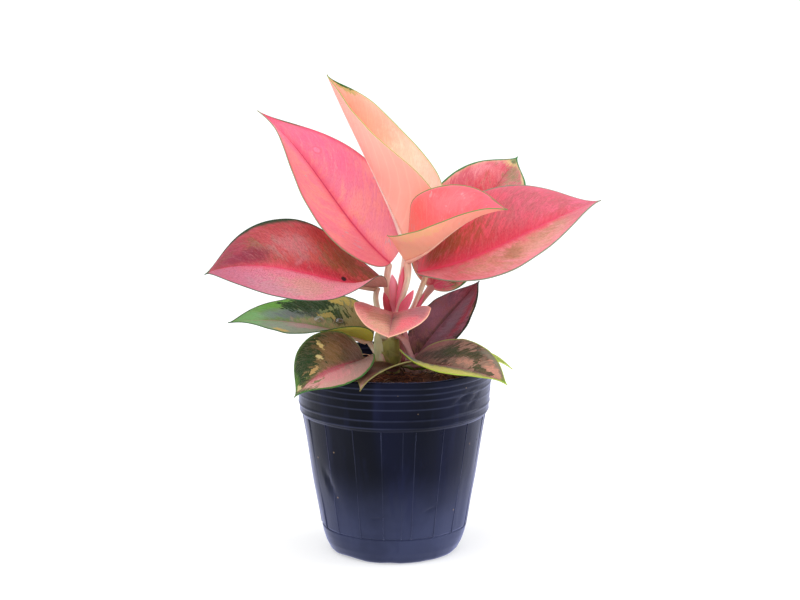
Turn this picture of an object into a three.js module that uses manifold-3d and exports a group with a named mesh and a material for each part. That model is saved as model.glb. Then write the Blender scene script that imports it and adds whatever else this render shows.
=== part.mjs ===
// Potted Chinese evergreen in a soft black nursery pot.
// Millimetres, +Z up, +Y away from the front. The origin is the centre of the pot's underside.
import * as THREE from 'three';
import { mergeVertices } from 'three/addons/utils/BufferGeometryUtils.js';
import Module from 'manifold-3d';

const wasm = await Module();
wasm.setup();

// Clearance between neighbouring pieces
const GAP = 0.3;

// Pot
const POT_SIDES = 44;
const RIM_RADIUS = 75.5;
const POT_HEIGHT = 147;
const BASE_RADIUS = 46;
const WALL = 1.5;
const FLOOR = 2.2;
const DRAIN_HOLES = 6;
const DRAIN_HOLE_RADIUS = 4.5;
const DRAIN_CIRCLE_RADIUS = 37;

// Soil
const SOIL_EDGE_HEIGHT = 136;
const SOIL_CROWN_HEIGHT = 139;
const SOIL_SIDES = 32;
const CHIP_COUNT = 18;

// Stem
const STEM_X = -4.5;
const STEM_Y = 1;
const STEM_FOOT = 108;
const STEM_TOP = 184;
const STEM_SIDES = 12;
const STEM_HOLE_RADIUS = 9;

// Leaves
const BLADE_THICKNESS = 0.8;
const MARGIN_HALF_WIDTH = 0.5;
const MIDRIB_STEPS = 80;
const BLADE_ROWS = [0, 0.02, 0.08, 0.18, 0.3, 0.43, 0.56, 0.69, 0.81, 0.91, 1];
const BLADE_COLUMNS = [1, 0.72, 0.38, 0.08, 0, -0.08, -0.38, -0.72, -1];
const STALK_STEPS = [0, 0.12, 0.3, 0.5, 0.7, 0.88, 1];
const STALK_SIDES = 8;
const STALK_WIDTH = 5.6;
const STALK_THICKNESS = 5.2;
const SHEATH_THICKNESS = 2.6;
const SHEATH_CURVE_RADIUS = 9;
// Place from root to point, share of the full width and thickness of a sheath's free point
const SHEATH_TIP_RINGS = [[0, 0.65, 2], [0.4, 1, 1.6], [0.75, 0.65, 1.3], [1, 0.15, 0.8]];
const RIB_STEPS = [0.05, 0.18, 0.4];

// One row for each leaf. The base is where the stalk meets the blade. Each list of three gives
// the value at the blade's base, middle and tip: heading (0 is right, 90 is away), pitch above
// level, roll (positive lifts the left half) and the rise of each half from the midrib, all in
// degrees. Stalk: height on the stem, direction around it, elevation where it leaves, width of
// its sheath. Bend: where the stalk turns into the blade, from the base. Tips: place and width of
// the free points of the sheath.
const LEAVES = [
  {
    name: 'leaf_upright_left', colour: 0xf27d8f,
    base: [-3, 8, 222], length: 161, width: 82, peak: 0.35, taper: 6, lobe: 0,
    heading: [164, 146, 166], pitch: [38, 47, 35], roll: [-33, -26, -10],
    foldLeft: [16, 24, 19], foldRight: [19, 20, 6], curlLeft: 17, curlRight: 8,
    stalk: [176, 80, 84, 7], bend: [-5, 0, -16], tips: [[-7.6, -4, 202, 6]],
  },
  {
    name: 'leaf_tall_back', colour: 0xf6b29a,
    base: [9, 14, 238], length: 144, width: 93, peak: 0.35, taper: 8, lobe: 0.03,
    heading: [172, 141, 148], pitch: [69, 56, 62], roll: [11, -25, -17],
    foldLeft: [73, 66, 54], foldRight: [52, 64, 49], curlLeft: 33, curlRight: 7,
    stalk: [177, 20, 84, 6], bend: [1, -2, -16], tips: [[-1.5, -5, 216, 9]],
  },
  {
    name: 'leaf_cupped_right', colour: 0xf58c7c,
    base: [9, -3, 227], length: 106, width: 78, peak: 0.36, taper: 10, lobe: 0.01,
    heading: [-39, -41, -15], pitch: [17, 35, 5], roll: [-1, 22, 1],
    foldLeft: [57, 61, 29], foldRight: [53, 29, 28], curlLeft: 18, curlRight: 5,
    stalk: [174, -35, 84, 7], bend: [6, 0, -13], tips: [[7, -2, 221.5, 5.5], [14.8, -6, 204, 8]],
  },
  {
    name: 'leaf_front_small', colour: 0xf08a7e,
    base: [0, -12, 187], length: 77, width: 61, peak: 0.4, taper: 8, lobe: 0.05,
    heading: [-95, -92, -94], pitch: [7, -3, -4], roll: [0, -2, 1],
    foldLeft: [17, 18, 1], foldRight: [17, 21, 0], curlLeft: -2, curlRight: 0,
    stalk: [168, -80, 75, 8], bend: [0.5, 5.9, -0.7], tips: [],
  },
  {
    name: 'leaf_big_right', colour: 0xc8505c,
    base: [25, 8, 216], length: 146, width: 87, peak: 0.42, taper: 7, lobe: 0.05,
    heading: [-13, -12, 9], pitch: [12, 28, 17], roll: [33, 42, 12],
    foldLeft: [25, 37, 3], foldRight: [42, 22, 9], curlLeft: -1, curlRight: -8,
    stalk: [166, 10, 62, 9], bend: [-5, -1, -15], tips: [],
  },
  {
    name: 'leaf_wing_left', colour: 0xb95560,
    base: [-11, -3, 206], length: 143, width: 85, peak: 0.42, taper: 12, lobe: 0.04,
    heading: [187, 207, 157], pitch: [3, 16, -27], roll: [2, -33, -18],
    foldLeft: [42, 7, 6], foldRight: [26, 29, 16], curlLeft: 6, curlRight: -1,
    stalk: [166, 240, 100, 8], bend: [-7, -3, -10], tips: [],
  },
  {
    name: 'leaf_back_right', colour: 0xd0606a,
    base: [29, 24, 201], length: 134, width: 79, peak: 0.39, taper: 9, lobe: 0.01,
    heading: [25, 43, 59], pitch: [56, 44, 29], roll: [31, 19, 28],
    foldLeft: [21, 39, 7], foldRight: [6, 33, -3], curlLeft: 12, curlRight: -14,
    stalk: [158, 42, 75, 9], bend: [-3.8, -1.8, -6.2], tips: [[23.5, 5, 199.5, 5]],
  },
  {
    name: 'leaf_dark_right', colour: 0x7b4450,
    base: [19, 8, 151], length: 74, width: 50, peak: 0.41, taper: 9, lobe: 0.06,
    heading: [20, 15, 41], pitch: [53, 47, 41], roll: [25, 21, 3],
    foldLeft: [18, 4, -1], foldRight: [13, 2, 11], curlLeft: 0, curlRight: 0,
    stalk: [145, 30, 20, 8], bend: [-2.8, -1, -3.9], tips: [[9, 3, 171, 9]],
  },
  {
    name: 'leaf_green_left', colour: 0x4f6b3f,
    base: [-19, 1, 163], length: 111, width: 72, peak: 0.37, taper: 5, lobe: 0.02,
    heading: [182, 172, 204], pitch: [19, 7, -4], roll: [-6, -12, -15],
    foldLeft: [45, 5, 19], foldRight: [52, 8, 24], curlLeft: 11, curlRight: 17,
    stalk: [146, 235, 75, 9], bend: [4, 0, -6], tips: [[-13, -4, 172, 8]],
  },
  {
    name: 'leaf_low_right', colour: 0x7d6a4a,
    base: [15, -11, 148], length: 86, width: 61, peak: 0.38, taper: 12, lobe: 0.05,
    heading: [-57, -30, -13], pitch: [9, -2, -28], roll: [6, 14, 13],
    foldLeft: [36, 17, 40], foldRight: [54, 14, 31], curlLeft: 0, curlRight: 11,
    stalk: [167, -32, 5, 8], bend: [-3.5, 2, 6.5], tips: [],
  },
  {
    name: 'leaf_low_left', colour: 0x6f6b4c,
    base: [-23, -30, 153], length: 72, width: 62, peak: 0.41, taper: 7, lobe: 0.01,
    heading: [-137, -137, -158], pitch: [8, -11, -50], roll: [5, -4, 2],
    foldLeft: [39, 1, 7], foldRight: [79, 36, 9], curlLeft: -5, curlRight: -5,
    stalk: [143, 200, 30, 8], bend: [6.1, 5.7, -1.2], tips: [],
  },
  {
    name: 'leaf_low_front', colour: 0x6e3f42,
    base: [1, -24, 148], length: 66, width: 46, peak: 0.5, taper: 9, lobe: 0.05,
    heading: [-118, -108, -146], pitch: [4, 4, -52], roll: [-9, 6, 10],
    foldLeft: [30, 14, 36], foldRight: [24, 0, 20], curlLeft: 0, curlRight: 0,
    stalk: [144, -79, 10, 6], bend: [2.3, 4.3, -0.3], tips: [],
  },
  {
    name: 'leaf_low_back', colour: 0x8c8f4a,
    base: [19, -1, 143.5], length: 75, width: 32, peak: 0.42, taper: 7, lobe: 0,
    heading: [-1, -3, -6], pitch: [16, 4, -40], roll: [0, 0, 0],
    foldLeft: [15, 12, 8], foldRight: [15, 12, 8], curlLeft: 0, curlRight: 0,
    stalk: [143, 0, 5, 6], bend: [-4, 0.1, -1.2], tips: [],
  },
];

function vector(x, y, z) {
  return new THREE.Vector3(x, y, z);
}

function radians(degrees) {
  return THREE.MathUtils.degToRad(degrees);
}

// Value at s of the parabola through (0, start), (0.5, middle) and (1, end)
function along([start, middle, end], s) {
  return start * (1 - s) * (1 - 2 * s) + middle * 4 * s * (1 - s) + end * s * (2 * s - 1);
}

// A closed solid from a geometry: shared corners merged and collapsed triangles dropped
function solid(geometry) {
  const bare = geometry.clone();
  bare.deleteAttribute('normal');
  bare.deleteAttribute('uv');
  const merged = mergeVertices(bare, 1e-4);
  const corners = merged.index.array;
  const kept = [];
  for (let i = 0; i < corners.length; i += 3) {
    const [a, b, c] = [corners[i], corners[i + 1], corners[i + 2]];
    if (a !== b && b !== c && c !== a) {
      kept.push(a, b, c);
    }
  }
  const vertProperties = new Float32Array(merged.attributes.position.array);
  const triVerts = new Uint32Array(kept);
  return new wasm.Manifold(new wasm.Mesh({ numProp: 3, vertProperties, triVerts }));
}

function piece(name, body, colour, roughness) {
  const { vertProperties, triVerts } = body.getMesh();
  const geometry = new THREE.BufferGeometry();
  geometry.setAttribute('position', new THREE.BufferAttribute(vertProperties, 3));
  geometry.setIndex(new THREE.BufferAttribute(triVerts, 1));
  geometry.computeVertexNormals();
  const look = new THREE.MeshStandardMaterial({ color: colour, roughness, metalness: 0 });
  const mesh = new THREE.Mesh(geometry, look);
  mesh.name = name;
  return mesh;
}

function lathe(profile, sides) {
  const geometry = new THREE.LatheGeometry(profile.map(([r, z]) => new THREE.Vector2(r, z)), sides);
  return geometry.rotateX(Math.PI / 2);
}

// A closed body through equal rings of points, which run anticlockwise seen from the last ring
function loft(rings) {
  const count = rings[0].length;
  const points = rings.flat();
  const index = [];
  for (let i = 0; i + 1 < rings.length; i += 1) {
    for (let j = 0; j < count; j += 1) {
      const a = i * count + j;
      const b = i * count + (j + 1) % count;
      index.push(a, b, b + count, a, b + count, a + count);
    }
  }
  const last = (rings.length - 1) * count;
  for (let j = 1; j + 1 < count; j += 1) {
    index.push(0, j + 1, j);
    index.push(last, last + j, last + j + 1);
  }
  return new THREE.BufferGeometry().setFromPoints(points).setIndex(index);
}

// A thin closed shell between two equal grids, both faces split along the same diagonals
function shell(upper, lower) {
  const rows = upper.length;
  const columns = upper[0].length;
  const points = [...upper.flat(), ...lower.flat()];
  const under = rows * columns;
  const index = [];
  const quad = (a, b, c, d) => index.push(a, b, c, a, c, d);
  for (let i = 0; i + 1 < rows; i += 1) {
    for (let j = 0; j + 1 < columns; j += 1) {
      const a = i * columns + j;
      const [b, c, d] = [a + 1, a + columns + 1, a + columns];
      quad(a, b, c, d);
      index.push(under + a, under + c, under + b, under + a, under + d, under + c);
    }
    const [left, right] = [i * columns, (i + 1) * columns - 1];
    quad(left, left + columns, under + left + columns, under + left);
    quad(right, under + right, under + right + columns, right + columns);
  }
  const end = (rows - 1) * columns;
  for (let j = 0; j + 1 < columns; j += 1) {
    quad(j, under + j, under + j + 1, j + 1);
    quad(end + j, end + j + 1, under + end + j + 1, under + end + j);
  }
  return new THREE.BufferGeometry().setFromPoints(points).setIndex(index);
}

// ---- pot ----

// Outer wall from the underside to the rim: a rounded foot, a plain taper with a groove near
// the foot, then a slightly wider band with shallow rings below the rim lip
const POT_OUTSIDE = [
  [BASE_RADIUS, 0], [49.6, 2.6], [52.6, 8.5], [54.6, 15], [55.7, 20.3], [55.3, 21.6], [56, 23],
  [63, 62], [70.6, 109], [72.2, 112.5], [72.6, 117], [73.2, 118], [73.7, 126], [74.2, 133],
  [74.6, 141.5], [RIM_RADIUS, 142.8], [RIM_RADIUS, POT_HEIGHT],
];

const POT_INSIDE = [
  [RIM_RADIUS - 2.2, POT_HEIGHT], [RIM_RADIUS - 2.6, 141], [72.2 - WALL, 113.5],
  [70.6 - WALL, 109], [56 - WALL, 23], [51, 8.5], [BASE_RADIUS, FLOOR],
];

function potBody() {
  const wall = solid(lathe([[0, 0], ...POT_OUTSIDE, ...POT_INSIDE, [0, FLOOR]], POT_SIDES));
  const drill = new THREE.CylinderGeometry(DRAIN_HOLE_RADIUS, DRAIN_HOLE_RADIUS, 3 * FLOOR, 12);
  drill.rotateX(Math.PI / 2);
  let body = wall;
  for (let i = 0; i < DRAIN_HOLES; i += 1) {
    const angle = (i + 0.5) * 2 * Math.PI / DRAIN_HOLES;
    const x = DRAIN_CIRCLE_RADIUS * Math.cos(angle);
    const y = DRAIN_CIRCLE_RADIUS * Math.sin(angle);
    body = body.subtract(solid(drill.clone().translate(x, y, FLOOR / 2)));
  }
  return body;
}

// ---- stem ----

const STEM_PROFILE = [
  [7.5, STEM_FOOT], [8.2, 136], [8, 150], [6.8, 162], [5.6, 172], [3.6, 180],
];

function stemRadius(z) {
  const above = STEM_PROFILE.findIndex(([, height]) => height >= z);
  const [r1, z1] = STEM_PROFILE[above];
  const [r0, z0] = STEM_PROFILE[above - 1];
  return r0 + (r1 - r0) * (z - z0) / (z1 - z0);
}

function stemBody(grow) {
  const wall = STEM_PROFILE.map(([r, z]) => [r + grow, z]);
  const profile = [[0, STEM_FOOT - grow], ...wall, [0, STEM_TOP + grow]];
  return solid(lathe(profile, STEM_SIDES).translate(STEM_X, STEM_Y, 0));
}

// ---- soil ----

// Repeatable scatter, the same on every build
function scatter(seed) {
  let state = seed;
  return () => {
    state = (state * 16807) % 2147483647;
    return state / 2147483647;
  };
}

function soilHeight(radius) {
  const share = Math.min(1, radius / 70);
  return SOIL_CROWN_HEIGHT + (SOIL_EDGE_HEIGHT - SOIL_CROWN_HEIGHT) * share * share;
}

function soilBody() {
  const top = [68, 50, 30, 10].map((r) => [r, soilHeight(r)]);
  const profile = [
    [0, FLOOR + GAP], [BASE_RADIUS - GAP, FLOOR + GAP], [51 - GAP, 8.5 + GAP],
    [56 - WALL - 2 * GAP, 23 + GAP], [70.6 - WALL - 2 * GAP, 109],
    [72.6 - WALL - 2 * GAP, SOIL_EDGE_HEIGHT],
    ...top, [0, SOIL_CROWN_HEIGHT],
  ];
  let body = solid(lathe(profile, SOIL_SIDES));
  const random = scatter(41);
  for (let i = 0; i < CHIP_COUNT; i += 1) {
    const radius = 16 + 48 * Math.sqrt(random());
    const angle = 2 * Math.PI * random();
    const chip = new THREE.BoxGeometry(3 + 6 * random(), 2 + 2 * random(), 1.4 + 1.2 * random());
    chip.rotateX(0.4 * (random() - 0.5));
    chip.rotateY(0.4 * (random() - 0.5));
    chip.rotateZ(Math.PI * random());
    chip.translate(radius * Math.cos(angle), radius * Math.sin(angle), soilHeight(radius) + 0.1);
    body = body.add(solid(chip));
  }
  const hole = new THREE.CylinderGeometry(STEM_HOLE_RADIUS, STEM_HOLE_RADIUS, 60, 16);
  hole.rotateX(Math.PI / 2);
  hole.translate(STEM_X, STEM_Y, STEM_FOOT - GAP + 30);
  return body.subtract(solid(hole));
}

// ---- leaves ----

// Forward, left and up directions of a blade at s
function bladeFrame(leaf, s) {
  const heading = radians(along(leaf.heading, s));
  const pitch = radians(along(leaf.pitch, s));
  const roll = radians(along(leaf.roll, s));
  const level = Math.cos(pitch);
  const forward = vector(level * Math.cos(heading), level * Math.sin(heading), Math.sin(pitch));
  const flatLeft = vector(-Math.sin(heading), Math.cos(heading), 0);
  const flatUp = forward.clone().cross(flatLeft);
  const left = flatLeft.clone().multiplyScalar(Math.cos(roll)).addScaledVector(flatUp, Math.sin(roll));
  const up = flatUp.clone().multiplyScalar(Math.cos(roll)).addScaledVector(flatLeft, -Math.sin(roll));
  return { forward, left, up };
}

function midribPoints(leaf) {
  const points = [vector(...leaf.base)];
  for (let i = 0; i < MIDRIB_STEPS; i += 1) {
    const { forward } = bladeFrame(leaf, (i + 0.5) / MIDRIB_STEPS);
    points.push(points[i].clone().addScaledVector(forward, leaf.length / MIDRIB_STEPS));
  }
  return points;
}

function midribAt(points, s) {
  const place = Math.min(s, 0.9999) * MIDRIB_STEPS;
  const i = Math.floor(place);
  return points[i].clone().lerp(points[i + 1], place - i);
}

// Half width: round at the base, widest near the peak, drawn out to a point
function halfWidth(leaf, s) {
  const bulge = Math.sin(Math.PI * s ** (Math.log(0.5) / Math.log(leaf.peak)));
  return leaf.width / 2 * Math.max(0, bulge) ** 0.62 * (1 - s ** leaf.taper);
}

// Surface point and upward normal at s along the midrib and u across, from 1 (left) to -1
function bladePoint(leaf, points, s, u, grow) {
  const { forward, left, up } = bladeFrame(leaf, s);
  const side = u < 0 ? -1 : 1;
  const t = Math.abs(u);
  const fold = radians(along(side > 0 ? leaf.foldLeft : leaf.foldRight, s));
  const curl = radians(side > 0 ? leaf.curlLeft : leaf.curlRight) || 1e-4;
  const out = (Math.sin(fold + curl * t) - Math.sin(fold)) / curl;
  const rise = (Math.cos(fold) - Math.cos(fold + curl * t)) / curl;
  const half = Math.max(MARGIN_HALF_WIDTH, halfWidth(leaf, s)) + grow;
  const back = leaf.lobe * leaf.length * t ** 2 * Math.max(0, 1 - 2 * s) ** 2;
  const point = midribAt(points, s);
  point.addScaledVector(left, side * half * out).addScaledVector(up, half * rise);
  point.addScaledVector(forward, -back);
  const lean = t > 0 ? fold + curl * t : 0;
  const normal = left.clone().multiplyScalar(-side * Math.sin(lean)).addScaledVector(up, Math.cos(lean));
  return { point, normal, forward };
}

function bladeBody(leaf, points, grow) {
  const upper = [];
  const lower = [];
  for (const s of BLADE_ROWS) {
    const rowUpper = [];
    const rowLower = [];
    const stretch = s === 0 ? -grow : Math.floor(s) * grow;
    for (const u of BLADE_COLUMNS) {
      const { point, normal, forward } = bladePoint(leaf, points, s, u, grow);
      point.addScaledVector(forward, stretch);
      rowUpper.push(point.clone().addScaledVector(normal, BLADE_THICKNESS / 2 + grow));
      rowLower.push(point.clone().addScaledVector(normal, -BLADE_THICKNESS / 2 - grow));
    }
    upper.push(rowUpper);
    lower.push(rowLower);
  }
  return solid(shell(upper, lower));
}

// An oval ring, flattened on its upper side and bent around the stem by the curve
function ring(centre, left, up, width, thickness, curve) {
  const points = [];
  for (let i = 0; i < STALK_SIDES; i += 1) {
    const angle = 2 * Math.PI * i / STALK_SIDES;
    const across = width / 2 * Math.cos(angle);
    const depth = thickness / 2 * Math.sin(angle) * (Math.sin(angle) > 0 ? 0.55 : 1);
    const point = centre.clone().addScaledVector(left, across);
    points.push(point.addScaledVector(up, depth + curve * across ** 2));
  }
  return points;
}

// Stalk from the stem to the blade: a sheath that clasps the stem, then a round stalk, which
// runs on under the blade as the midrib
function stalkPath(leaf) {
  const [height, direction, elevation] = leaf.stalk;
  const outward = vector(Math.cos(radians(direction)), Math.sin(radians(direction)), 0);
  const start = vector(STEM_X, STEM_Y, height);
  start.addScaledVector(outward, stemRadius(height) + GAP + SHEATH_THICKNESS / 2);
  const leaving = outward.clone().multiplyScalar(Math.cos(radians(elevation)));
  leaving.z = Math.sin(radians(elevation));
  const base = vector(...leaf.base);
  const { left } = bladeFrame(leaf, 0);
  const reach = start.distanceTo(base);
  const path = new THREE.CubicBezierCurve3(
    start,
    start.clone().addScaledVector(leaving, 0.4 * reach),
    base.clone().add(vector(...leaf.bend)),
    base,
  );
  return { path, left, around: vector(-outward.y, outward.x, 0) };
}

function stalkBody(leaf, points, grow) {
  const { path, left, around } = stalkPath(leaf);
  const sheathWidth = leaf.stalk[3];
  const rings = [];
  for (const t of STALK_STEPS) {
    const forward = path.getTangent(t);
    const side = around.clone().lerp(left, t);
    side.addScaledVector(forward, -side.dot(forward)).normalize();
    const up = forward.clone().cross(side);
    const round = THREE.MathUtils.smoothstep(t, 0.25, 0.6);
    const width = THREE.MathUtils.lerp(sheathWidth, STALK_WIDTH, round) + 2 * grow;
    const thickness = THREE.MathUtils.lerp(SHEATH_THICKNESS, STALK_THICKNESS, round) + 2 * grow;
    const curve = (1 - round) / (2 * SHEATH_CURVE_RADIUS);
    const centre = path.getPoint(t);
    if (t === 0) {
      centre.addScaledVector(forward, -grow);
    }
    rings.push(ring(centre, side, up, width, thickness, curve));
  }
  rings.pop();
  for (const s of RIB_STEPS) {
    const frame = bladeFrame(leaf, s);
    const share = 1 - 0.75 * s / RIB_STEPS[RIB_STEPS.length - 1];
    const centre = midribAt(points, s).addScaledVector(frame.up, -STALK_THICKNESS / 4 * share);
    const width = share * STALK_WIDTH + 2 * grow;
    const thickness = share * STALK_THICKNESS + 2 * grow;
    rings.push(ring(centre, frame.left, frame.up, width, thickness, 0));
  }
  let body = solid(loft(rings));
  for (const [x, y, z, width] of leaf.tips) {
    body = body.add(sheathTip(path, vector(x, y, z), width, grow));
  }
  return body;
}

// A pointed flap that stands free of the stalk
function sheathTip(path, tip, width, grow) {
  const root = path.getPoint(0.12);
  const forward = tip.clone().sub(root).normalize();
  const side = path.getTangent(0.12).cross(vector(0, 1, 0.2)).normalize();
  side.addScaledVector(forward, -side.dot(forward)).normalize();
  const up = forward.clone().cross(side);
  const rings = SHEATH_TIP_RINGS.map(([t, share, thickness]) => (
    ring(root.clone().lerp(tip, t), side, up, share * width + 2 * grow, thickness + 2 * grow, 0)
  ));
  return solid(loft(rings));
}

function leafBody(leaf, grow) {
  const points = midribPoints(leaf);
  return bladeBody(leaf, points, grow).add(stalkBody(leaf, points, grow));
}

function largest(body) {
  return body.decompose().sort((a, b) => b.volume() - a.volume())[0];
}

// Each leaf is cut clear of the stem and of the leaves before it
function leafPieces() {
  const pieces = [];
  let taken = stemBody(GAP);
  for (const leaf of LEAVES) {
    const body = largest(leafBody(leaf, 0).subtract(taken));
    taken = taken.add(leafBody(leaf, GAP));
    pieces.push(piece(leaf.name, body, leaf.colour, 0.45));
  }
  return pieces;
}

const plant = new THREE.Group();
plant.add(piece('pot', potBody(), 0x17191d, 0.42));
plant.add(piece('potting_soil', soilBody(), 0x2a1d16, 0.95));
plant.add(piece('stem', stemBody(0), 0x8a8a4e, 0.6));
plant.add(...leafPieces());

export default plant;
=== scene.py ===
"""Looks of the potted Chinese evergreen.

Metres, +Z up, +Y away from the front of the plant; sizes in the tables are millimetres.
Each leaf grows from the row of sizes that its solid has, on a finer grid, with sunken
side veins, a wavy margin and variegation that follows the veins.
"""

import math

import bmesh
import bpy
import numpy as np
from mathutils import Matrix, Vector, noise


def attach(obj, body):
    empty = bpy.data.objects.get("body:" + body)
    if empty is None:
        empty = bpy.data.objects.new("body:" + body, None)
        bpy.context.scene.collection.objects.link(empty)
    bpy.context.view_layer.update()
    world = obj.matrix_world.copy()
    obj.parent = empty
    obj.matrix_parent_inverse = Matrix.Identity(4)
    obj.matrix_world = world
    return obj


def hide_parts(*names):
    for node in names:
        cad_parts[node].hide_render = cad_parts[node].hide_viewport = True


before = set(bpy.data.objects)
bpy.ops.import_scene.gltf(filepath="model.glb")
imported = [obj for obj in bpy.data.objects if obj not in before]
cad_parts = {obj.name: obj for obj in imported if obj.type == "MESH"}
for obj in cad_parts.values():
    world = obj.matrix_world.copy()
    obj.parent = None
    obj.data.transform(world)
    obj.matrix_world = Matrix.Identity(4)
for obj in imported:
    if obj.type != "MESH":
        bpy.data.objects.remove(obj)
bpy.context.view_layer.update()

MM = 0.001


# ---------------------------------------------------------------- sizes of the pot and the soil

BASE_RADIUS = 46.0
FLOOR_HEIGHT = 2.2
FOOT_TOP = 20.8
DRAIN_HOLES, DRAIN_RADIUS, DRAIN_CIRCLE = 6, 4.5, 37.0
# (radius, height) up the outside, and down the inside
POT_OUTSIDE = [
    (49.6, 2.6), (52.6, 8.5), (54.6, 15.0), (55.7, 20.0), (55.3, 21.0), (56.0, 22.2), (63.0, 62.0),
    (70.4, 108.5), (71.6, 110.0), (72.3, 113.0), (72.7, 117.0), (73.4, 126.0), (74.1, 133.0),
    (74.7, 141.5), (75.3, 143.2), (75.5, 146.4),
]
POT_INSIDE = [(73.4, 146.6), (72.9, 141.0), (70.7, 113.5), (69.1, 109.0), (54.5, 23.0), (51.0, 8.5)]
# height, rise and half height of each moulded ring
RINGS = [(142.3, 0.55, 0.8), (137.6, 0.25, 0.7), (133.0, 0.6, 0.9), (126.0, 0.35, 0.9),
         (117.6, 0.7, 1.0), (111.6, 0.75, 0.9)]
RING_SHARE, WIDEST = 0.7, 76.2  # how much of their rise the rings get, and the largest radius
# upright seams: how many, radius and height of their two ends, and the rows of wide and thin
# ones: number, direction, width, seed
SEAMS = 18
SEAM_FOOT, SEAM_HEAD = (55.85, 21.2), (70.5, 109.5)
SEAM_ROWS = [(SEAMS, -67, 0.9, 4), (5, -65.2, 0.6, 9)]
SEAM_UNEVENNESS = 0.02
HIGHLIT_RADIUS = 71.2  # the rings' crests get a painted highlight where they stand further out than this
# direction, height, half width, half height, depth and lean of each dent
DENTS = [(-142, 62, 1.6, 9, 1.5, 0.35), (-138.5, 59, 4, 12, 1.0, 0.35), (-103, 38, 4.5, 1.2, 1.3, 0.15),
         (-63, 44, 4.5, 1.3, 1.4, 0.4), (-46, 130, 10, 1.8, 1.2, 0.5), (-36, 126, 9, 1.6, 0.8, 0.7)]

SOIL_EDGE_HEIGHT, SOIL_CROWN_HEIGHT = 136.0, 139.0
SOIL_RADIUS = 72.2
# (radius, height) from the middle of the fill's underside up to its top edge
SOIL_OUTSIDE = [(0, 2.5), (48, 2.5), (50.7, 8.5), (54.1, 23.0), (68.7, 109.0), (70.3, 113.5),
                (SOIL_RADIUS, 134.8)]

STEM_X, STEM_Y = -4.5, 1.0
STEM_PROFILE = [(7.5, 108), (8.2, 136), (8.0, 150), (6.8, 162), (5.6, 172), (3.6, 180), (2.0, 183)]
CANE_RINGS = 141, 147, 153, 158.5
# direction, half spread, foot, top, flare and lean of each old leaf base round the cane
OLD_SHEATHS = [(205, 75, 139, 161, 1.6, 10), (-80, 118, 138, 158, 1.3, -8), (20, 70, 138, 156, 1.5, 12),
               (110, 75, 139, 160, 1.4, -6), (-62, 100, 149, 171, 1.2, 6), (150, 60, 149, 170, 1.1, -6)]
OLD_SHEATH_THICKNESS = 0.9
# direction, height on the cane, reach and thickness
ROOTLETS = [(-100, 144, 7, 1.8), (-75, 146, 5, 1.4), (-40, 143, 9, 1.7), (-128, 145, 6, 1.2),
            (175, 143, 8, 1.6), (100, 144, 7, 1.5), (60, 145, 6, 1.3), (-15, 144, 6, 1.2)]

BLADE_THICKNESS, BLADE_EDGE, BLADE_FULLNESS = 0.7, 0.25, 0.62
STALK_WIDTH, STALK_THICKNESS = 5.6, 5.2
SHEATH_THICKNESS, SHEATH_CURVE_RADIUS = 2.6, 9.0
# side veins of a blade, and how far they sweep towards the tip, straight and curved
VEINS, VEIN_SWEEP, VEIN_CURVE = 13.0, 0.15, 0.13
QUILT_HEIGHT, GROOVE_DEPTH, MARGIN_WAVE = 0.16, 0.4, 1.2
# height and stretch of a water drop as shares of its radius, and the place along and across the
# green leaf and the radius of each
DROP_HEIGHT, DROP_STRETCH = 0.55, 1.25
DROPS = {"water_drop_large": (0.38, -0.24, 3.3), "water_drop_small": (0.24, -0.31, 2.6)}


# ---------------------------------------------------------------- leaf rows

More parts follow.
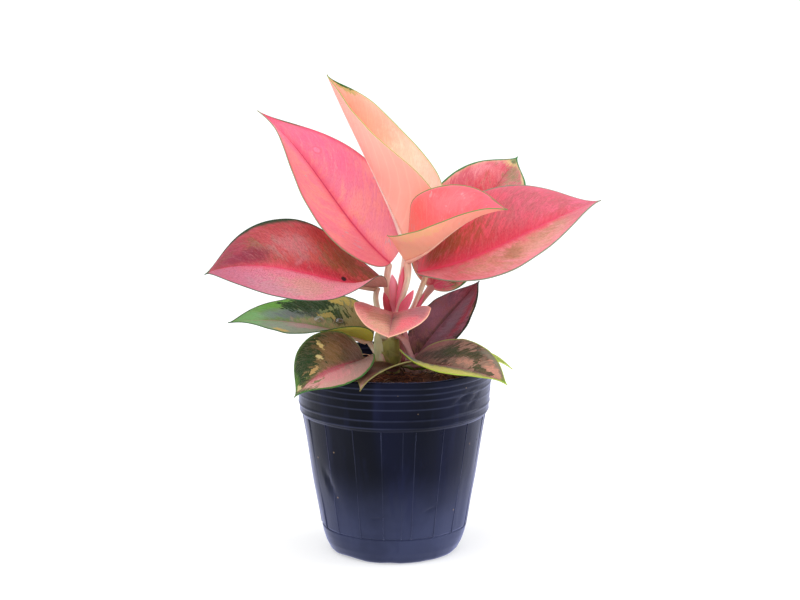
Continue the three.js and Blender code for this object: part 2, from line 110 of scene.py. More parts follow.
# Words of a leaf's row. The base is where the stalk meets the blade. Each list of three holds at
# the blade's base, middle and tip: heading (0 right, 90 away), pitch, roll and the rise of each
# half, in degrees. Stalk: height on the stem, direction round it, elevation where it leaves and
# width of its sheath. Bend: where the stalk turns into the blade, from the base. Tips: place and
# width of the free points of the sheath.
LEAF_WORDS = ("base length width peak taper lobe heading pitch roll fold_left fold_right "
              "curl_left curl_right stalk bend tips slot").split()
LEAVES = {name: dict(zip(LEAF_WORDS, row)) for name, row in {
    "leaf_upright_left": ([-3, 8, 222], 161, 82, 0.35, 6, 0, [164, 146, 166], [38, 47, 35], [-33, -26, -10],
        [16, 24, 19], [19, 20, 6], 17, 8, [176, 80, 84, 7], [-5, 0, -16], [[-7.6, -4, 202, 6]], "leaf_pink"),
    "leaf_tall_back": ([9, 14, 238], 144, 93, 0.35, 8, 0.03, [172, 141, 148], [69, 56, 62], [11, -25, -17],
        [73, 66, 54], [52, 64, 49], 33, 7, [177, 20, 84, 6], [1, -2, -16], [[-1.5, -5, 216, 9]], "leaf_peach"),
    "leaf_cupped_right": ([9, -3, 227], 106, 78, 0.36, 10, 0.01, [-39, -41, -15], [17, 35, 5], [-1, 22, 1],
        [57, 61, 29], [53, 29, 28], 18, 5, [174, -35, 84, 7], [6, 0, -13],
        [[7, -2, 221.5, 5.5], [14.8, -6, 204, 8]], "leaf_coral"),
    "leaf_front_small": ([0, -12, 187], 77, 61, 0.4, 8, 0.05, [-95, -92, -94], [7, -3, -4], [0, -2, 1],
        [17, 18, 1], [17, 21, 0], -2, 0, [168, -80, 75, 8], [0.5, 5.9, -0.7], [], "leaf_pink"),
    "leaf_big_right": ([25, 8, 216], 146, 87, 0.42, 7, 0.05, [-13, -12, 9], [12, 28, 17], [33, 42, 12],
        [25, 37, 3], [42, 22, 9], -1, -8, [166, 10, 62, 9], [-5, -1, -15], [], "leaf_crimson"),
    "leaf_wing_left": ([-11, -3, 206], 143, 85, 0.42, 12, 0.04, [187, 207, 157], [3, 16, -27], [2, -33, -18],
        [42, 7, 6], [26, 29, 16], 6, -1, [166, 240, 100, 8], [-7, -3, -10], [], "leaf_maroon"),
    "leaf_back_right": ([29, 24, 201], 134, 79, 0.39, 9, 0.01, [25, 43, 59], [56, 44, 29], [31, 19, 28],
        [21, 39, 7], [6, 33, -3], 12, -14, [158, 42, 75, 9], [-3.8, -1.8, -6.2], [[23.5, 5, 199.5, 5]],
        "leaf_crimson"),
    "leaf_dark_right": ([19, 8, 151], 74, 50, 0.41, 9, 0.06, [20, 15, 41], [53, 47, 41], [25, 21, 3], [18, 4, -1],
        [13, 2, 11], 0, 0, [145, 30, 20, 8], [-2.8, -1, -3.9], [[9, 3, 171, 9]], "leaf_purple"),
    "leaf_green_left": ([-19, 1, 163], 111, 72, 0.37, 5, 0.02, [182, 172, 204], [19, 7, -4], [-6, -12, -15],
        [45, 5, 19], [52, 8, 24], 11, 17, [146, 235, 75, 9], [4, 0, -6], [[-13, -4, 172, 8]], "leaf_green"),
    "leaf_low_right": ([15, -11, 148], 86, 61, 0.38, 12, 0.05, [-57, -30, -13], [9, -2, -28], [6, 14, 13],
        [36, 17, 40], [54, 14, 31], 0, 11, [167, -32, 5, 8], [-3.5, 2, 6.5], [], "leaf_olive"),
    "leaf_low_left": ([-23, -30, 153], 72, 62, 0.41, 7, 0.01, [-137, -137, -158], [8, -11, -50], [5, -4, 2],
        [39, 1, 7], [79, 36, 9], -5, -5, [143, 200, 30, 8], [6.1, 5.7, -1.2], [], "leaf_green_pink"),
    "leaf_low_front": ([1, -24, 148], 66, 46, 0.5, 9, 0.05, [-118, -108, -146], [4, 4, -52], [-9, 6, 10],
        [30, 14, 36], [24, 0, 20], 0, 0, [144, -79, 10, 6], [2.3, 4.3, -0.3], [], "leaf_purple"),
    "leaf_low_back": ([19, -1, 143.5], 75, 32, 0.42, 7, 0, [-1, -3, -6], [16, 4, -40], [0, 0, 0], [15, 12, 8],
        [15, 12, 8], 0, 0, [143, 0, 5, 6], [-4, 0.1, -1.2], [], "leaf_yellow_green"),
}.items()}

# Words of a skin's ground and lines, in the order of their rows in SKINS. The last ones may be
# left out. leaf_ground and leaf_lines say what they mean.
GROUND_WORDS = ("left_base left_tip right_base right_tip cloud_tint cloud_amount "
                "mottle mottle_left mottle_right mottle_edge fleck fleck_amount mottle_tip").split()
LINE_WORDS = ("threads thread_amount vein_tint vein_amount fine_amount heart heart_width heart_amount "
              "rim rim_width rim_amount midrib midrib_width margin margin_left margin_right "
              "under under_tip under_ground").split()
# A patch: tint, place along and across, half length and half width as shares of the blade, how
# soft its edge is, how far the ragged noise frays it, and its strength
PATCH_WORDS = "tint along across length width edge fray strength".split()
# A stalk: its colour beside the stem, halfway and beside the blade, of its edges, and of the free
# points of its sheath
STALK_WORDS = "low middle high edge free".split()
# Looks of each leaf. Marks are patches over the lines; a painted glow is emission in the blade's own colour,
# painted light that stands in for light a thin blade lets through.
SKINS = {
    "leaf_upright_left": dict(
        seed=1.0, ground=("#f48494", "#f890a4", "#ee90a6", "#e66c8c", "#fca294", 0.75),
        patches=[
            ("#f07c8c", 0.08, 0.6, 0.12, 0.5, 0.6, 1.5, 0.5), ("#fa96a0", 0.2, -0.3, 0.16, 0.4, 0.6, 2.0, 0.5),
            ("#e8a078", 0.26, -0.16, 0.05, 0.08, 0.5, 3.0, 0.35),
            ("#f96c98", 0.62, -0.62, 0.2, 0.3, 0.6, 2.0, 0.6),
            ("#f06a84", 0.67, -0.42, 0.026, 0.1, 0.25, 0.3, 0.75),
            ("#fd8ca8", 0.67, -0.42, 0.018, 0.07, 0.2, 0.2, 0.9),
            ("#ec6890", 0.86, -0.3, 0.16, 0.9, 0.6, 1.0, 0.6), ("#d85c78", 0.95, -0.5, 0.06, 0.7, 0.6, 1.0, 0.6)],
        marks=[("#3c6034", 0.9, -1.0, 0.09, 0.13, 0.4, 0.6, 0.9)],
        lines=("#dc5470", 0.36, "#fdbcc0", 0.07, 0.1, "#e8486a", 4, 0.65, "#d83c60", 2.0, 0.85, "#d43c5c", 1.7,
               "#8c9470", 0.5, 0.12, "#f0a894", "#eea08c"),
        stalk=("#dca094", "#f0e0c4", "#f8e4cc", "#f0a098", "#d83c64")),
    "leaf_tall_back": dict(
        seed=2.0, painted_glow=0.12, ground=("#fad0bc", "#f0a884", "#fffaf0", "#fcc4b0", "#f8c8a0", 0.25),
        patches=[
            ("#fcb4a0", 0.66, -0.55, 0.22, 0.6, 0.6, 2.0, 0.7), ("#fcd0ac", 0.3, -0.8, 0.12, 0.3, 0.6, 3.0, 0.4),
            ("#fff6e8", 0.26, -0.4, 0.18, 0.55, 0.6, 3.0, 0.85),
            ("#a8b85c", 0.91, -0.84, 0.08, 0.22, 0.3, 2.0, 0.8)],
        marks=[("#2c6426", 0.925, -0.96, 0.065, 0.16, 0.15, 2.0, 0.97),
               ("#7c6038", 1.0, 0.0, 0.012, 1.0, 0.3, 0.5, 0.9)],
        lines=("#f8a88c", 0.2, "#ffe8d4", 0.12, 0.14, "#fcc8a4", 5, 0.4, "#fcb88c", 2, 0.4, "#f0c8a8", 1.2,
               "#98ac60", 0.2, 0.4, "#fcbcac", "#f2a69a", 0.1),
        stalk=("#e8a8a0", "#f4dcc8", "#fce8dc", "#f4a4a4", "#f888a0")),
    "leaf_cupped_right": dict(
        seed=3.0, painted_glow=0.06, ground=("#e89080", "#f87088", "#ee6c74", "#fd7c92", "#fb6c74", 0.6),
        patches=[
            ("#f27468", 0.2, 0.8, 0.18, 0.3, 0.6, 2.0, 0.5), ("#ff8c94", 0.6, 0.6, 0.14, 0.2, 0.5, 3.0, 0.6),
            ("#f0b060", 0.46, -0.8, 0.16, 0.3, 0.6, 3.0, 0.8), ("#f08c84", 0.12, -0.2, 0.16, 0.3, 0.6, 2.0, 0.7),
            ("#f47c88", 0.85, -0.4, 0.1, 0.5, 0.6, 2.0, 0.5), ("#4c7040", 0.93, 0.95, 0.05, 0.12, 0.4, 1.0, 0.9)],
        lines=("#e24c60", 0.2, "#ffb0a8", 0.07, 0.08, "#f05068", 6, 0.3, "#f4909c", 2, 0.3, "#e8485e", 1.5,
               "#6f8c50", 0.5, 0.6, "#ffd8b0", "#ea9c7c", 0.35),
        stalk=("#d8a898", "#e4d0b4", "#fcc8b0", "#f4949c", "#f0587c")),
    "leaf_front_small": dict(
        seed=4.0, ground=("#c8647c", "#f2888e", "#b8606c", "#eca494", "#b88c70", 0.6),
        patches=[
            ("#74564c", 0.36, 0.0, 0.26, 0.22, 0.6, 2.5, 0.85), ("#8c6478", 0.4, 0.8, 0.2, 0.36, 0.6, 2.5, 0.65),
            ("#946c4c", 0.45, -0.42, 0.16, 0.34, 0.6, 4.0, 0.75),
            ("#c8485c", 0.36, -0.9, 0.16, 0.3, 0.6, 3.0, 0.7), ("#d4b08c", 0.74, -0.3, 0.12, 0.4, 0.6, 3.0, 0.5),
            ("#f46c7c", 0.68, 0.45, 0.18, 0.3, 0.6, 3.0, 0.7),
            ("#b48474", 0.62, 0.12, 0.16, 0.12, 0.6, 3.0, 0.6)],
        marks=[("#4c2838", 0.335, 0.04, 0.018, 0.05, 0.4, 0.4, 0.85)],
        lines=("#9c4850", 0.55, "#f8c0b4", 0.12, 0.2, "#7c5450", 3, 0.4, "#f09c98", 2.4, 0.5, "#a8505c", 0.9,
               "#f0b498", 0.3, 0.3, "#d88c80", "#e09a88"),
        stalk=("#b8887c", "#d8a094", "#d88c84", "#cc5c6c", "#e05874")),
    "leaf_big_right": dict(
        seed=5.0, ground=("#e64c50", "#ea7c98", "#ee9aa2", "#eca8a6", "#d44450", 0.45, "#8c6044", 0.42, 0.05,
                0.16),
        patches=[
            ("#7c4830", 0.1, 0.5, 0.1, 0.5, 0.6, 2.5, 0.7), ("#a4603c", 0.28, 0.4, 0.14, 0.25, 0.6, 4.0, 0.55),
            ("#d84858", 0.4, 0.14, 0.3, 0.16, 0.6, 3.0, 0.7), ("#e27086", 0.66, 0.6, 0.2, 0.45, 0.6, 3.0, 0.6),
            ("#e0607c", 0.16, -0.3, 0.14, 0.4, 0.6, 3.0, 0.4), ("#d6a48c", 0.56, -0.5, 0.3, 0.34, 0.5, 3.0, 0.75),
            ("#a88460", 0.48, -0.45, 0.06, 0.22, 0.6, 4.0, 0.7), ("#b09070", 0.7, -0.4, 0.1, 0.16, 0.6, 4.0, 0.5),
            ("#e47c94", 0.92, -0.4, 0.1, 0.6, 0.6, 2.0, 0.7)],
        lines=("#a02c3c", 0.38, "#f4a0a4", 0.07, 0.16, "#ea4a68", 5.5, 0.75, "#ea7c92", 5, 0.45, "#f45c7c", 2.6,
               "#7c8c74", 0.6, 0.9, "#c89a84", "#d49484"),
        stalk=("#c8a898", "#d4c4a8", "#d8b088", "#d88080", "#dc4868")),
    "leaf_wing_left": dict(
        seed=6.0, ground=("#fa9ca8", "#bc6c88", "#d86a58", "#a43e50", "#d86470", 0.35, "#84603c", -0.3, 0.42,
                0.1),
        patches=[
            ("#c4a08c", 0.5, 0.6, 0.14, 0.3, 0.6, 3.0, 0.6), ("#b4909c", 0.66, 0.75, 0.1, 0.3, 0.6, 3.0, 0.5),
            ("#c41c40", 0.34, -0.1, 0.22, 0.16, 0.6, 2.5, 0.75),
            ("#f0506c", 0.24, 0.1, 0.14, 0.14, 0.6, 2.0, 0.6), ("#c88088", 0.5, -0.5, 0.14, 0.24, 0.6, 3.5, 0.6),
            ("#b43848", 0.46, -0.86, 0.3, 0.14, 0.6, 3.0, 0.5),
            ("#842840", 0.77, -0.24, 0.12, 0.2, 0.45, 1.5, 0.85),
            ("#9c3c58", 0.87, -0.55, 0.1, 0.4, 0.6, 2.0, 0.6), ("#a87048", 0.2, -0.6, 0.12, 0.3, 0.5, 4.0, 0.6)],
        marks=[("#23402c", 0.7, -1.0, 0.3, 0.075, 0.5, 0.8, 0.95),
               ("#3c6c3c", 0.985, -0.3, 0.02, 0.8, 0.5, 0.6, 0.8),
               ("#2a2228", 0.2, -0.09, 0.015, 0.055, 0.25, 0.3, 0.97)],
        lines=("#7a2434", 0.55, "#f0a4a4", 0.05, 0.12, "#ec4468", 2.8, 0.5, "#d06c88", 3, 0.3, "#e4486c", 1.2,
               "#385840", 0.35, 1.1, "#b08c78", "#bc9480"),
        stalk=("#c8b89c", "#dcd0b4", "#c8a088", "#c88078", "#c83c58")),
    "leaf_back_right": dict(
        seed=7.0, ground=("#b03c4c", "#e06878", "#dc5478", "#c47e7c", "#f4a0a4", 0.6, "#7c7c54", 0.1, 0.3, 0.1),
        patches=[
            ("#d8404c", 0.7, 0.3, 0.16, 0.3, 0.6, 3.0, 0.6), ("#8c9468", 0.84, -0.4, 0.1, 0.4, 0.3, 4.0, 0.6),
            ("#e0d08c", 0.95, 0.0, 0.045, 1.0, 0.3, 2.0, 0.8), ("#2f8048", 0.98, 0.0, 0.045, 1.0, 0.2, 1.5, 0.95),
            ("#e8d8a0", 0.86, -0.95, 0.1, 0.14, 0.4, 2.5, 0.7)],
        lines=("#a83448", 0.35, "#fbc8c4", 0.06, 0.2, "#cc4256", 4, 0.4, "#e8d49c", 2.4, 0.4, "#c4485c", 1.3,
               "#3f7c44", 1.3, 1.7, "#b8606c", "#c08070"),
        stalk=("#b08c7c", "#b88c78", "#c89490", "#b85058", "#d03c60")),
    "leaf_dark_right": dict(
        seed=8.0, ground=("#806a50", "#8e4060", "#664a58", "#7c303e", "#9c647a", 0.7, "#40342c", 0.4, 0.2, 0.14),
        patches=[
            ("#946078", 0.42, 0.45, 0.2, 0.35, 0.6, 3.0, 0.75), ("#6c4860", 0.66, 0.6, 0.14, 0.3, 0.6, 3.0, 0.5),
            # The grey-plum band beside the midrib on the right half, at 0.55 along, is a painted sheen.
            ("#7c6474", 0.55, -0.3, 0.34, 0.2, 0.5, 1.5, 0.8), ("#9c3448", 0.66, -0.66, 0.24, 0.1, 0.5, 3.0, 0.8),
            ("#70202c", 0.9, 0.1, 0.12, 0.5, 0.6, 1.0, 0.7), ("#3c302c", 0.5, 0.06, 0.4, 0.06, 0.5, 1.0, 0.6),
            ("#202c1c", 0.8, -0.97, 0.24, 0.13, 0.3, 3.0, 0.9),
            ("#b08460", 0.68, -0.9, 0.05, 0.05, 0.4, 3.0, 0.8)],
        lines=("#3c1c28", 0.35, "#a4788c", 0.05, 0.12, "#4c2c3c", 2, 0.4, "#2c3024", 1.4, 0.6, "#9c5c70", 0.7,
               "#202a1c", 1.1, 1.5, "#7c4a54", "#8c4c56"),
        stalk=("#a06464", "#b47078", "#94586a", "#8c3c50", "#d88890")),
    "leaf_green_left": dict(
        seed=9.0, ground=("#aca890", "#7cb078", "#948c64", "#58a048", "#5c7c50", 0.5, "#1c3814", 0.1, 0.3, 0.04),
        patches=[
            ("#a89c68", 0.14, -0.5, 0.14, 0.6, 0.5, 4.0, 0.7),
            ("#64b044", 0.68, -0.85, 0.12, 0.24, 0.5, 2.0, 0.8),
            # Painted sheen: the next three grey patches stand in for a reflection on the glossy blade.
            ("#7c9890", 0.68, -0.36, 0.13, 0.26, 0.6, 2.0, 0.8),
            ("#68787c", 0.56, -0.38, 0.12, 0.18, 0.4, 2.5, 0.85),
            ("#30483c", 0.45, -0.46, 0.09, 0.16, 0.3, 3.0, 0.85),
            ("#0c3408", 0.45, -0.76, 0.2, 0.28, 0.1, 2.5, 0.97),
            ("#143c0c", 0.29, -0.5, 0.09, 0.2, 0.12, 4.0, 0.93),
            ("#24381c", 0.24, -0.28, 0.05, 0.12, 0.2, 4.0, 0.75),
            ("#c8b860", 0.31, -0.86, 0.08, 0.12, 0.15, 5.0, 0.9),
            ("#b8ac5c", 0.35, -0.4, 0.04, 0.08, 0.15, 6.0, 0.85),
            # The grey-green patch at 0.6 along and 0.45 across is a painted sheen.
            ("#ac9c78", 0.4, -0.14, 0.12, 0.1, 0.3, 5.0, 0.7), ("#98a898", 0.6, 0.45, 0.24, 0.4, 0.6, 2.0, 0.75),
            ("#e0c060", 0.6, 0.78, 0.06, 0.12, 0.4, 4.0, 0.8), ("#c894a0", 0.44, 0.16, 0.12, 0.14, 0.6, 2.0, 0.7),
            ("#84c47c", 0.9, -0.1, 0.14, 1.0, 0.5, 1.5, 0.8)],
        lines=("#24441c", 0.25, "#b4d0b0", 0.05, 0.1, "#8c7c64", 2, 0.3, "#78b468", 2, 0.3, "#c88c98", 1.2,
               "#2e5a2c", 0.5, 0.9, "#e8dc50", "#8ca060", 0.1),
        stalk=("#dccca8", "#f4e0c8", "#f4ccb4", "#e0b0a0", "#d4d4a0")),
    "leaf_low_right": dict(
        seed=10.0, ground=("#6c4a4c", "#c0a48c", "#5c6468", "#a4a468", "#6c6454", 0.7, "#34382c", 0.42, 0.3, 0.07,
                "#cc8c7c", 0.3),
        patches=[
            ("#3c4034", 0.3, 0.4, 0.22, 0.24, 0.35, 4.0, 0.85),
            ("#b07074", 0.12, 0.88, 0.16, 0.14, 0.6, 1.5, 0.6),
            ("#d09c88", 0.56, 0.25, 0.1, 0.16, 0.2, 6.0, 0.75), ("#34482c", 0.5, 0.55, 0.16, 0.16, 0.2, 6.0, 0.8),
            ("#8c9080", 0.82, 0.88, 0.13, 0.16, 0.5, 3.0, 0.8), ("#e0a490", 0.84, 0.3, 0.1, 0.34, 0.3, 4.0, 0.85),
            ("#2c4c2c", 0.72, 0.14, 0.08, 0.12, 0.15, 6.0, 0.9), ("#5c6c70", 0.1, -0.4, 0.12, 0.5, 0.5, 1.5, 0.9),
            ("#d4d86c", 0.52, -0.75, 0.36, 0.45, 0.35, 1.5, 0.85),
            ("#54646c", 0.2, -0.85, 0.12, 0.35, 0.4, 1.5, 0.9),
            ("#7ca838", 0.975, 0.0, 0.05, 1.0, 0.3, 1.5, 0.92)],
        lines=("#4c3830", 0.3, "#c8a094", 0.05, 0.12, "#8c6058", 2.5, 0.3, "#6c7c4c", 2, 0.4, "#b0707c", 0.9,
               "#a4bc44", 0.7, 2.6, "#a0a850", "#a8b048"),
        stalk=("#c89484", "#bc8480", "#a47074", "#a06868", "#8c7c48")),
    "leaf_low_left": dict(
        seed=11.0, ground=("#584844", "#e8aea4", "#38280f", "#7c7044", "#c88c84", 0.12, "#345828", -1.75, -1.0,
                0.035, "#c8a86c", 0.35, 2.5),
        patches=[
            ("#5c3c24", 0.12, -0.5, 0.14, 0.5, 0.5, 2.0, 0.6), ("#84643c", 0.36, -0.45, 0.12, 0.3, 0.6, 2.5, 0.6),
            ("#a89084", 0.3, 0.6, 0.14, 0.3, 0.6, 2.5, 0.3), ("#d8848c", 0.58, 0.32, 0.2, 0.3, 0.5, 3.0, 0.6),
            ("#b8485c", 0.48, 0.1, 0.22, 0.1, 0.6, 3.0, 0.75),
            ("#183a18", 0.72, -0.88, 0.35, 0.68, 0.06, 2.0, 0.97),
            ("#4a7c2c", 0.88, -0.8, 0.1, 0.3, 0.5, 1.5, 0.8), ("#dcc888", 0.5, -0.42, 0.03, 0.1, 0.12, 5.0, 0.85),
            ("#d8c47c", 0.41, -0.66, 0.022, 0.14, 0.12, 5.0, 0.85),
            ("#c8a468", 0.63, -0.22, 0.05, 0.05, 0.12, 6.0, 0.8),
            ("#d8c890", 0.89, -0.3, 0.03, 0.24, 0.15, 4.0, 0.85),
            ("#4c7430", 0.72, 0.3, 0.05, 0.07, 0.15, 6.0, 0.8)],
        lines=("#443c20", 0.24, "#d8b4a4", 0.05, 0.12, "#b0545c", 2, 0.5, "#5c7c3c", 1.6, 0.5, "#b8506c", 1.0,
               "#3c6c30", 1.6, 0.7, "#6c5a34", "#5c6c3c"),
        stalk=("#c0ac8c", "#d0b8a0", "#b48478", "#b08c7c", "#a0985c")),
    "leaf_low_front": dict(
        seed=12.0, ground=("#5c4c2c", "#8c7c54", "#543028", "#94705c", "#4c2828", 0.5, "#5c5a30", 0.4, 0.1, 0.1),
        patches=[
            ("#d8a0a0", 0.97, -0.2, 0.06, 0.8, 0.5, 1.5, 0.7), ("#6c2c38", 0.6, -0.3, 0.2, 0.3, 0.6, 2.0, 0.5)],
        lines=("#2c1814", 0.35, "#a08070", 0.05, 0.12, "#5c3434", 2, 0.3, "#7c7c44", 2, 0.4, "#8c4c4c", 0.8,
               "#84804c", 1.3, 0.8, "#8c7c4c", "#a08860"),
        stalk=("#8c7c48", "#7c5c48", "#7c4c48", "#6c3c3c", "#8c8450")),
    "leaf_low_back": dict(
        seed=13.0, ground=("#5c7c3a", "#b0c450", "#5c7c3a", "#b0c450", "#7c9c44", 0.5, "#3c5c28", 0.3, 0.3, 0.06),
        patches=[],
        lines=("#3c5c28", 0.3, "#b0c47c", 0.06, 0.12, "#748c44", 2, 0.3, "#b8cc5c", 2, 0.4, "#b4a464", 0.8,
               "#b8cc54", 0.7, 0.7, "#7c8c48", "#a8b050"),
        stalk=("#8c8448", "#7c8c44", "#7c9444", "#6c7c3c", "#8c9450")),
}


# ---------------------------------------------------------------- node trees

GREY = (0.5, 0.5, 0.5, 1.0)


def colour(code):
    """Linear colour of a hex code."""
    parts = [int(code[i:i + 2], 16) / 255 for i in (1, 3, 5)]
    return tuple(p / 12.92 if p <= 0.04045 else ((p + 0.055) / 1.055) ** 2.4 for p in parts) + (1.0,)


class Tree:
    """Short calls that add nodes to a shader or geometry tree."""

    def __init__(self, tree):
        self.tree = tree

    def put(self, kind, inputs=None, **settings):
        node = self.tree.nodes.new(kind)
        for key, value in settings.items():
            setattr(node, key, value)
        for key, value in (inputs or {}).items():
            self.feed(node.inputs[key], value)
        return node

    def feed(self, socket, value):
        """Link a socket to a socket, or set it to a plain value or to the colour of a hex code."""
        if isinstance(value, bpy.types.NodeSocket):
            self.tree.links.new(value, socket)
        else:
            hexed = isinstance(value, str) and value.startswith("#")
            socket.default_value = colour(value) if hexed else value

    def math(self, operation, a, b=0.0, c=0.0):
        return self.put("ShaderNodeMath", {0: a, 1: b, 2: c}, operation=operation).outputs[0]

    def shape(self, kind, inputs=None, **settings):
        """The first output of a geometry node."""
        return self.put("GeometryNode" + kind, inputs, **settings).outputs[0]

    def add(self, a, b):
        return self.math("ADD", a, b)

    def less(self, a, b):
        return self.math("SUBTRACT", a, b)

    def times(self, a, b):
        return self.math("MULTIPLY", a, b)

    def scaled(self, a, b, c):
        return self.math("MULTIPLY_ADD", a, b, c)

    def ramp(self, value, low, high, out_low=0.0, out_high=1.0):
        """Smooth step from low to high, which may run either way."""
        node = self.put("ShaderNodeMapRange", {
            "Value": value, "From Min": low, "From Max": high,
            "To Min": out_low, "To Max": out_high}, interpolation_type="SMOOTHSTEP")
        return node.outputs[0]

    def mix(self, factor, a, b, blend="MIX"):
        return self.put("ShaderNodeMix", {0: factor, 6: a, 7: b}, data_type="RGBA", blend_type=blend).outputs[2]

    def layers(self, skin, *tints):
        """The skin under tints, each a (factor, tint)."""
        for factor, tint in tints:
            skin = self.mix(factor, skin, tint)
        return skin

    def shaded(self, skin, shade):
        return self.mix(1.0, skin, self.vector(shade, shade, shade), "MULTIPLY")

    def mix_values(self, factor, a, b):
        return self.put("ShaderNodeMix", {0: factor, 2: a, 3: b}, data_type="FLOAT").outputs[0]

    def noise(self, place, scale, detail=3.0, roughness=0.5, distortion=0.0, result=0):
        return self.put("ShaderNodeTexNoise", {
            "Vector": place, "Scale": scale, "Detail": detail,
            "Roughness": roughness, "Distortion": distortion}).outputs[result]

    def attribute(self, name):
        return self.put("ShaderNodeAttribute", attribute_name=name).outputs["Fac"]

    def vector(self, x, y, z):
        return self.put("ShaderNodeCombineXYZ", {0: x, 1: y, 2: z}).outputs[0]

    def vectors(self, operation, a, b, result=0):
        socket = "Scale" if operation == "SCALE" else 1
        return self.put("ShaderNodeVectorMath", {0: a, socket: b}, operation=operation).outputs[result]

    def place(self):
        return self.put("ShaderNodeTexCoord").outputs["Object"]

    def chance(self, low, high, seed, wide=False):
        """A random number, or three, between low and high for each point."""
        first = 0 if wide else 2
        node = self.put("FunctionNodeRandomValue", {first: low, first + 1: high, "Seed": seed},
                        data_type="FLOAT_VECTOR" if wide else "FLOAT")
        return node.outputs[0 if wide else 1]


def shader_group(name, inputs, outputs):
    """A shader group and its tree. Inputs are words with their defaults, outputs are words."""
    group = bpy.data.node_groups.new(name, "ShaderNodeTree")
    for word, default in inputs.items():
        kind = "NodeSocketColor" if isinstance(default, tuple) else "NodeSocketFloat"
        socket = group.interface.new_socket(word.replace("_", " ").title(), in_out="INPUT", socket_type=kind)
        socket.default_value = default
    for word in outputs.split():
        kind = "NodeSocketColor" if word == "Color" else "NodeSocketFloat"
        group.interface.new_socket(word, in_out="OUTPUT", socket_type=kind)
    tree = Tree(group)
    return group, tree, tree.put("NodeGroupInput").outputs


def put_out(tree, results):
    last = tree.put("NodeGroupOutput")
    for key, value in results.items():
        tree.feed(last.inputs[key], value)


def placed(tree, group, values):
    """The outputs of a group in a material. Words become socket names."""
    node = tree.put("ShaderNodeGroup", node_tree=group)
    for key, value in values.items():
        tree.feed(node.inputs[key.replace("_", " ").title()], value)
    return node.outputs


def new_material(name):
    material = bpy.data.materials.new(name)
    material.use_nodes = True
    return material, Tree(material.node_tree), material.node_tree.nodes["Principled BSDF"]


def dress(tree, shader, skin, rough, height, distance, strength, **plain):
    """Feed a shader its colour, roughness and relief, and set its plain values, whose words
    become socket names."""
    bump = tree.put("ShaderNodeBump", {"Height": height, "Distance": distance, "Strength": strength})
    for socket, value in (("Base Color", skin), ("Roughness", rough), ("Normal", bump.outputs[0])):
        tree.feed(shader.inputs[socket], value)
    set_plain(shader, plain)


def set_plain(shader, values):
    for key, value in values.items():
        shader.inputs[key.replace("_", " ")].default_value = value


# ---------------------------------------------------------------- finishes

def leaf_fields():
    """A blade's own noise, from its attributes along (0 base, 1 tip) and across (1 left margin,
    -1 right). Side veins leave the midrib and sweep towards the tip, and so do the streaks."""
    group, tree, given = shader_group(
        "leaf_fields", dict(seed=0.0), "Left Streak Grain Ragged Cloud Vein Fine Dots")
    along, across = tree.attribute("along"), tree.attribute("across")
    place = tree.place()
    left = tree.ramp(across, -0.01, 0.01)
    out = tree.math("ABSOLUTE", across)
    phase = tree.less(along, tree.add(tree.times(tree.times(out, out), VEIN_CURVE), tree.times(out, VEIN_SWEEP)))
    wander = tree.scaled(tree.noise(place, 45.0, 2.0), 0.5, -0.25)
    vein = tree.ramp(tree.math("PINGPONG", tree.scaled(phase, VEINS, wander), 0.5), 0.13, 0.0)
    seed = tree.scaled(left, 9.0, given["Seed"])
    fine = tree.noise(tree.vector(tree.times(phase, 75.0), tree.times(out, 5.0), seed), 1.0, 2.0, 0.6, 0.4)
    fine = tree.ramp(tree.math("ABSOLUTE", tree.less(fine, 0.5)), 0.04, 0.0)
    streak = tree.noise(tree.vector(tree.times(phase, 30.0), tree.times(out, 4.0), seed), 1.0, 5.0, 0.66, 0.5)
    grain = tree.noise(tree.vector(tree.times(phase, 190.0), tree.times(out, 22.0), seed), 1.0, 3.0, 0.65)
    moved = tree.vectors("ADD", place, tree.vector(given["Seed"], 0.0, 0.0))
    blotch = tree.noise(moved, 70.0, 5.0, 0.62, 0.8)
    ragged = tree.scaled(tree.add(streak, blotch), 0.95, -0.45)
    cloud = tree.scaled(tree.add(tree.noise(moved, 30.0, 3.0, 0.55, 0.6), streak), 0.8, -0.3)
    dots = tree.scaled(grain, 0.55, tree.times(tree.noise(place, 420.0, 2.0, 0.7), 0.45))
    put_out(tree, {"Left": left, "Streak": streak, "Grain": grain, "Ragged": ragged, "Cloud": cloud,
                   "Vein": vein, "Fine": fine, "Dots": dots})
    return group


def leaf_ground():
    """The two halves of a blade from base to tip, clouded with a second tone, with a mottle in
    feathered patches (amount 0 none, 1 all over) and flecks round them."""
    group, tree, given = shader_group("leaf_ground", dict(
        left=0.0, streak=0.5, ragged=0.5, cloud=0.5, dots=0.5, left_base=GREY, left_tip=GREY, right_base=GREY,
        right_tip=GREY, cloud_tint=GREY, cloud_amount=0.0, mottle=GREY, mottle_left=0.0, mottle_right=0.0,
        mottle_tip=0.0, mottle_edge=0.04, fleck=GREY, fleck_amount=0.0), "Color")
    along, left = tree.attribute("along"), given["Left"]
    skin = tree.mix(left, tree.mix(along, given["Right Base"], given["Right Tip"]),
                    tree.mix(along, given["Left Base"], given["Left Tip"]))
    cloud = tree.times(tree.ramp(given["Cloud"], 0.4, 0.62), given["Cloud Amount"])
    amount = tree.mix_values(left, given["Mottle Right"], given["Mottle Left"])
    amount = tree.add(amount, tree.times(along, given["Mottle Tip"]))
    field = tree.less(given["Ragged"], tree.scaled(amount, -0.42, 0.71))
    edge = given["Mottle Edge"]
    mottle = tree.ramp(field, tree.times(edge, -1.0), edge)
    dots = tree.times(tree.ramp(given["Dots"], 0.5, 0.6), tree.ramp(field, -0.16, -0.02))
    dots = tree.times(dots, given["Fleck Amount"])
    put_out(tree, {"Color": tree.layers(
        skin, (cloud, given["Cloud Tint"]), (mottle, given["Mottle"]), (dots, given["Fleck"]))})
    return group


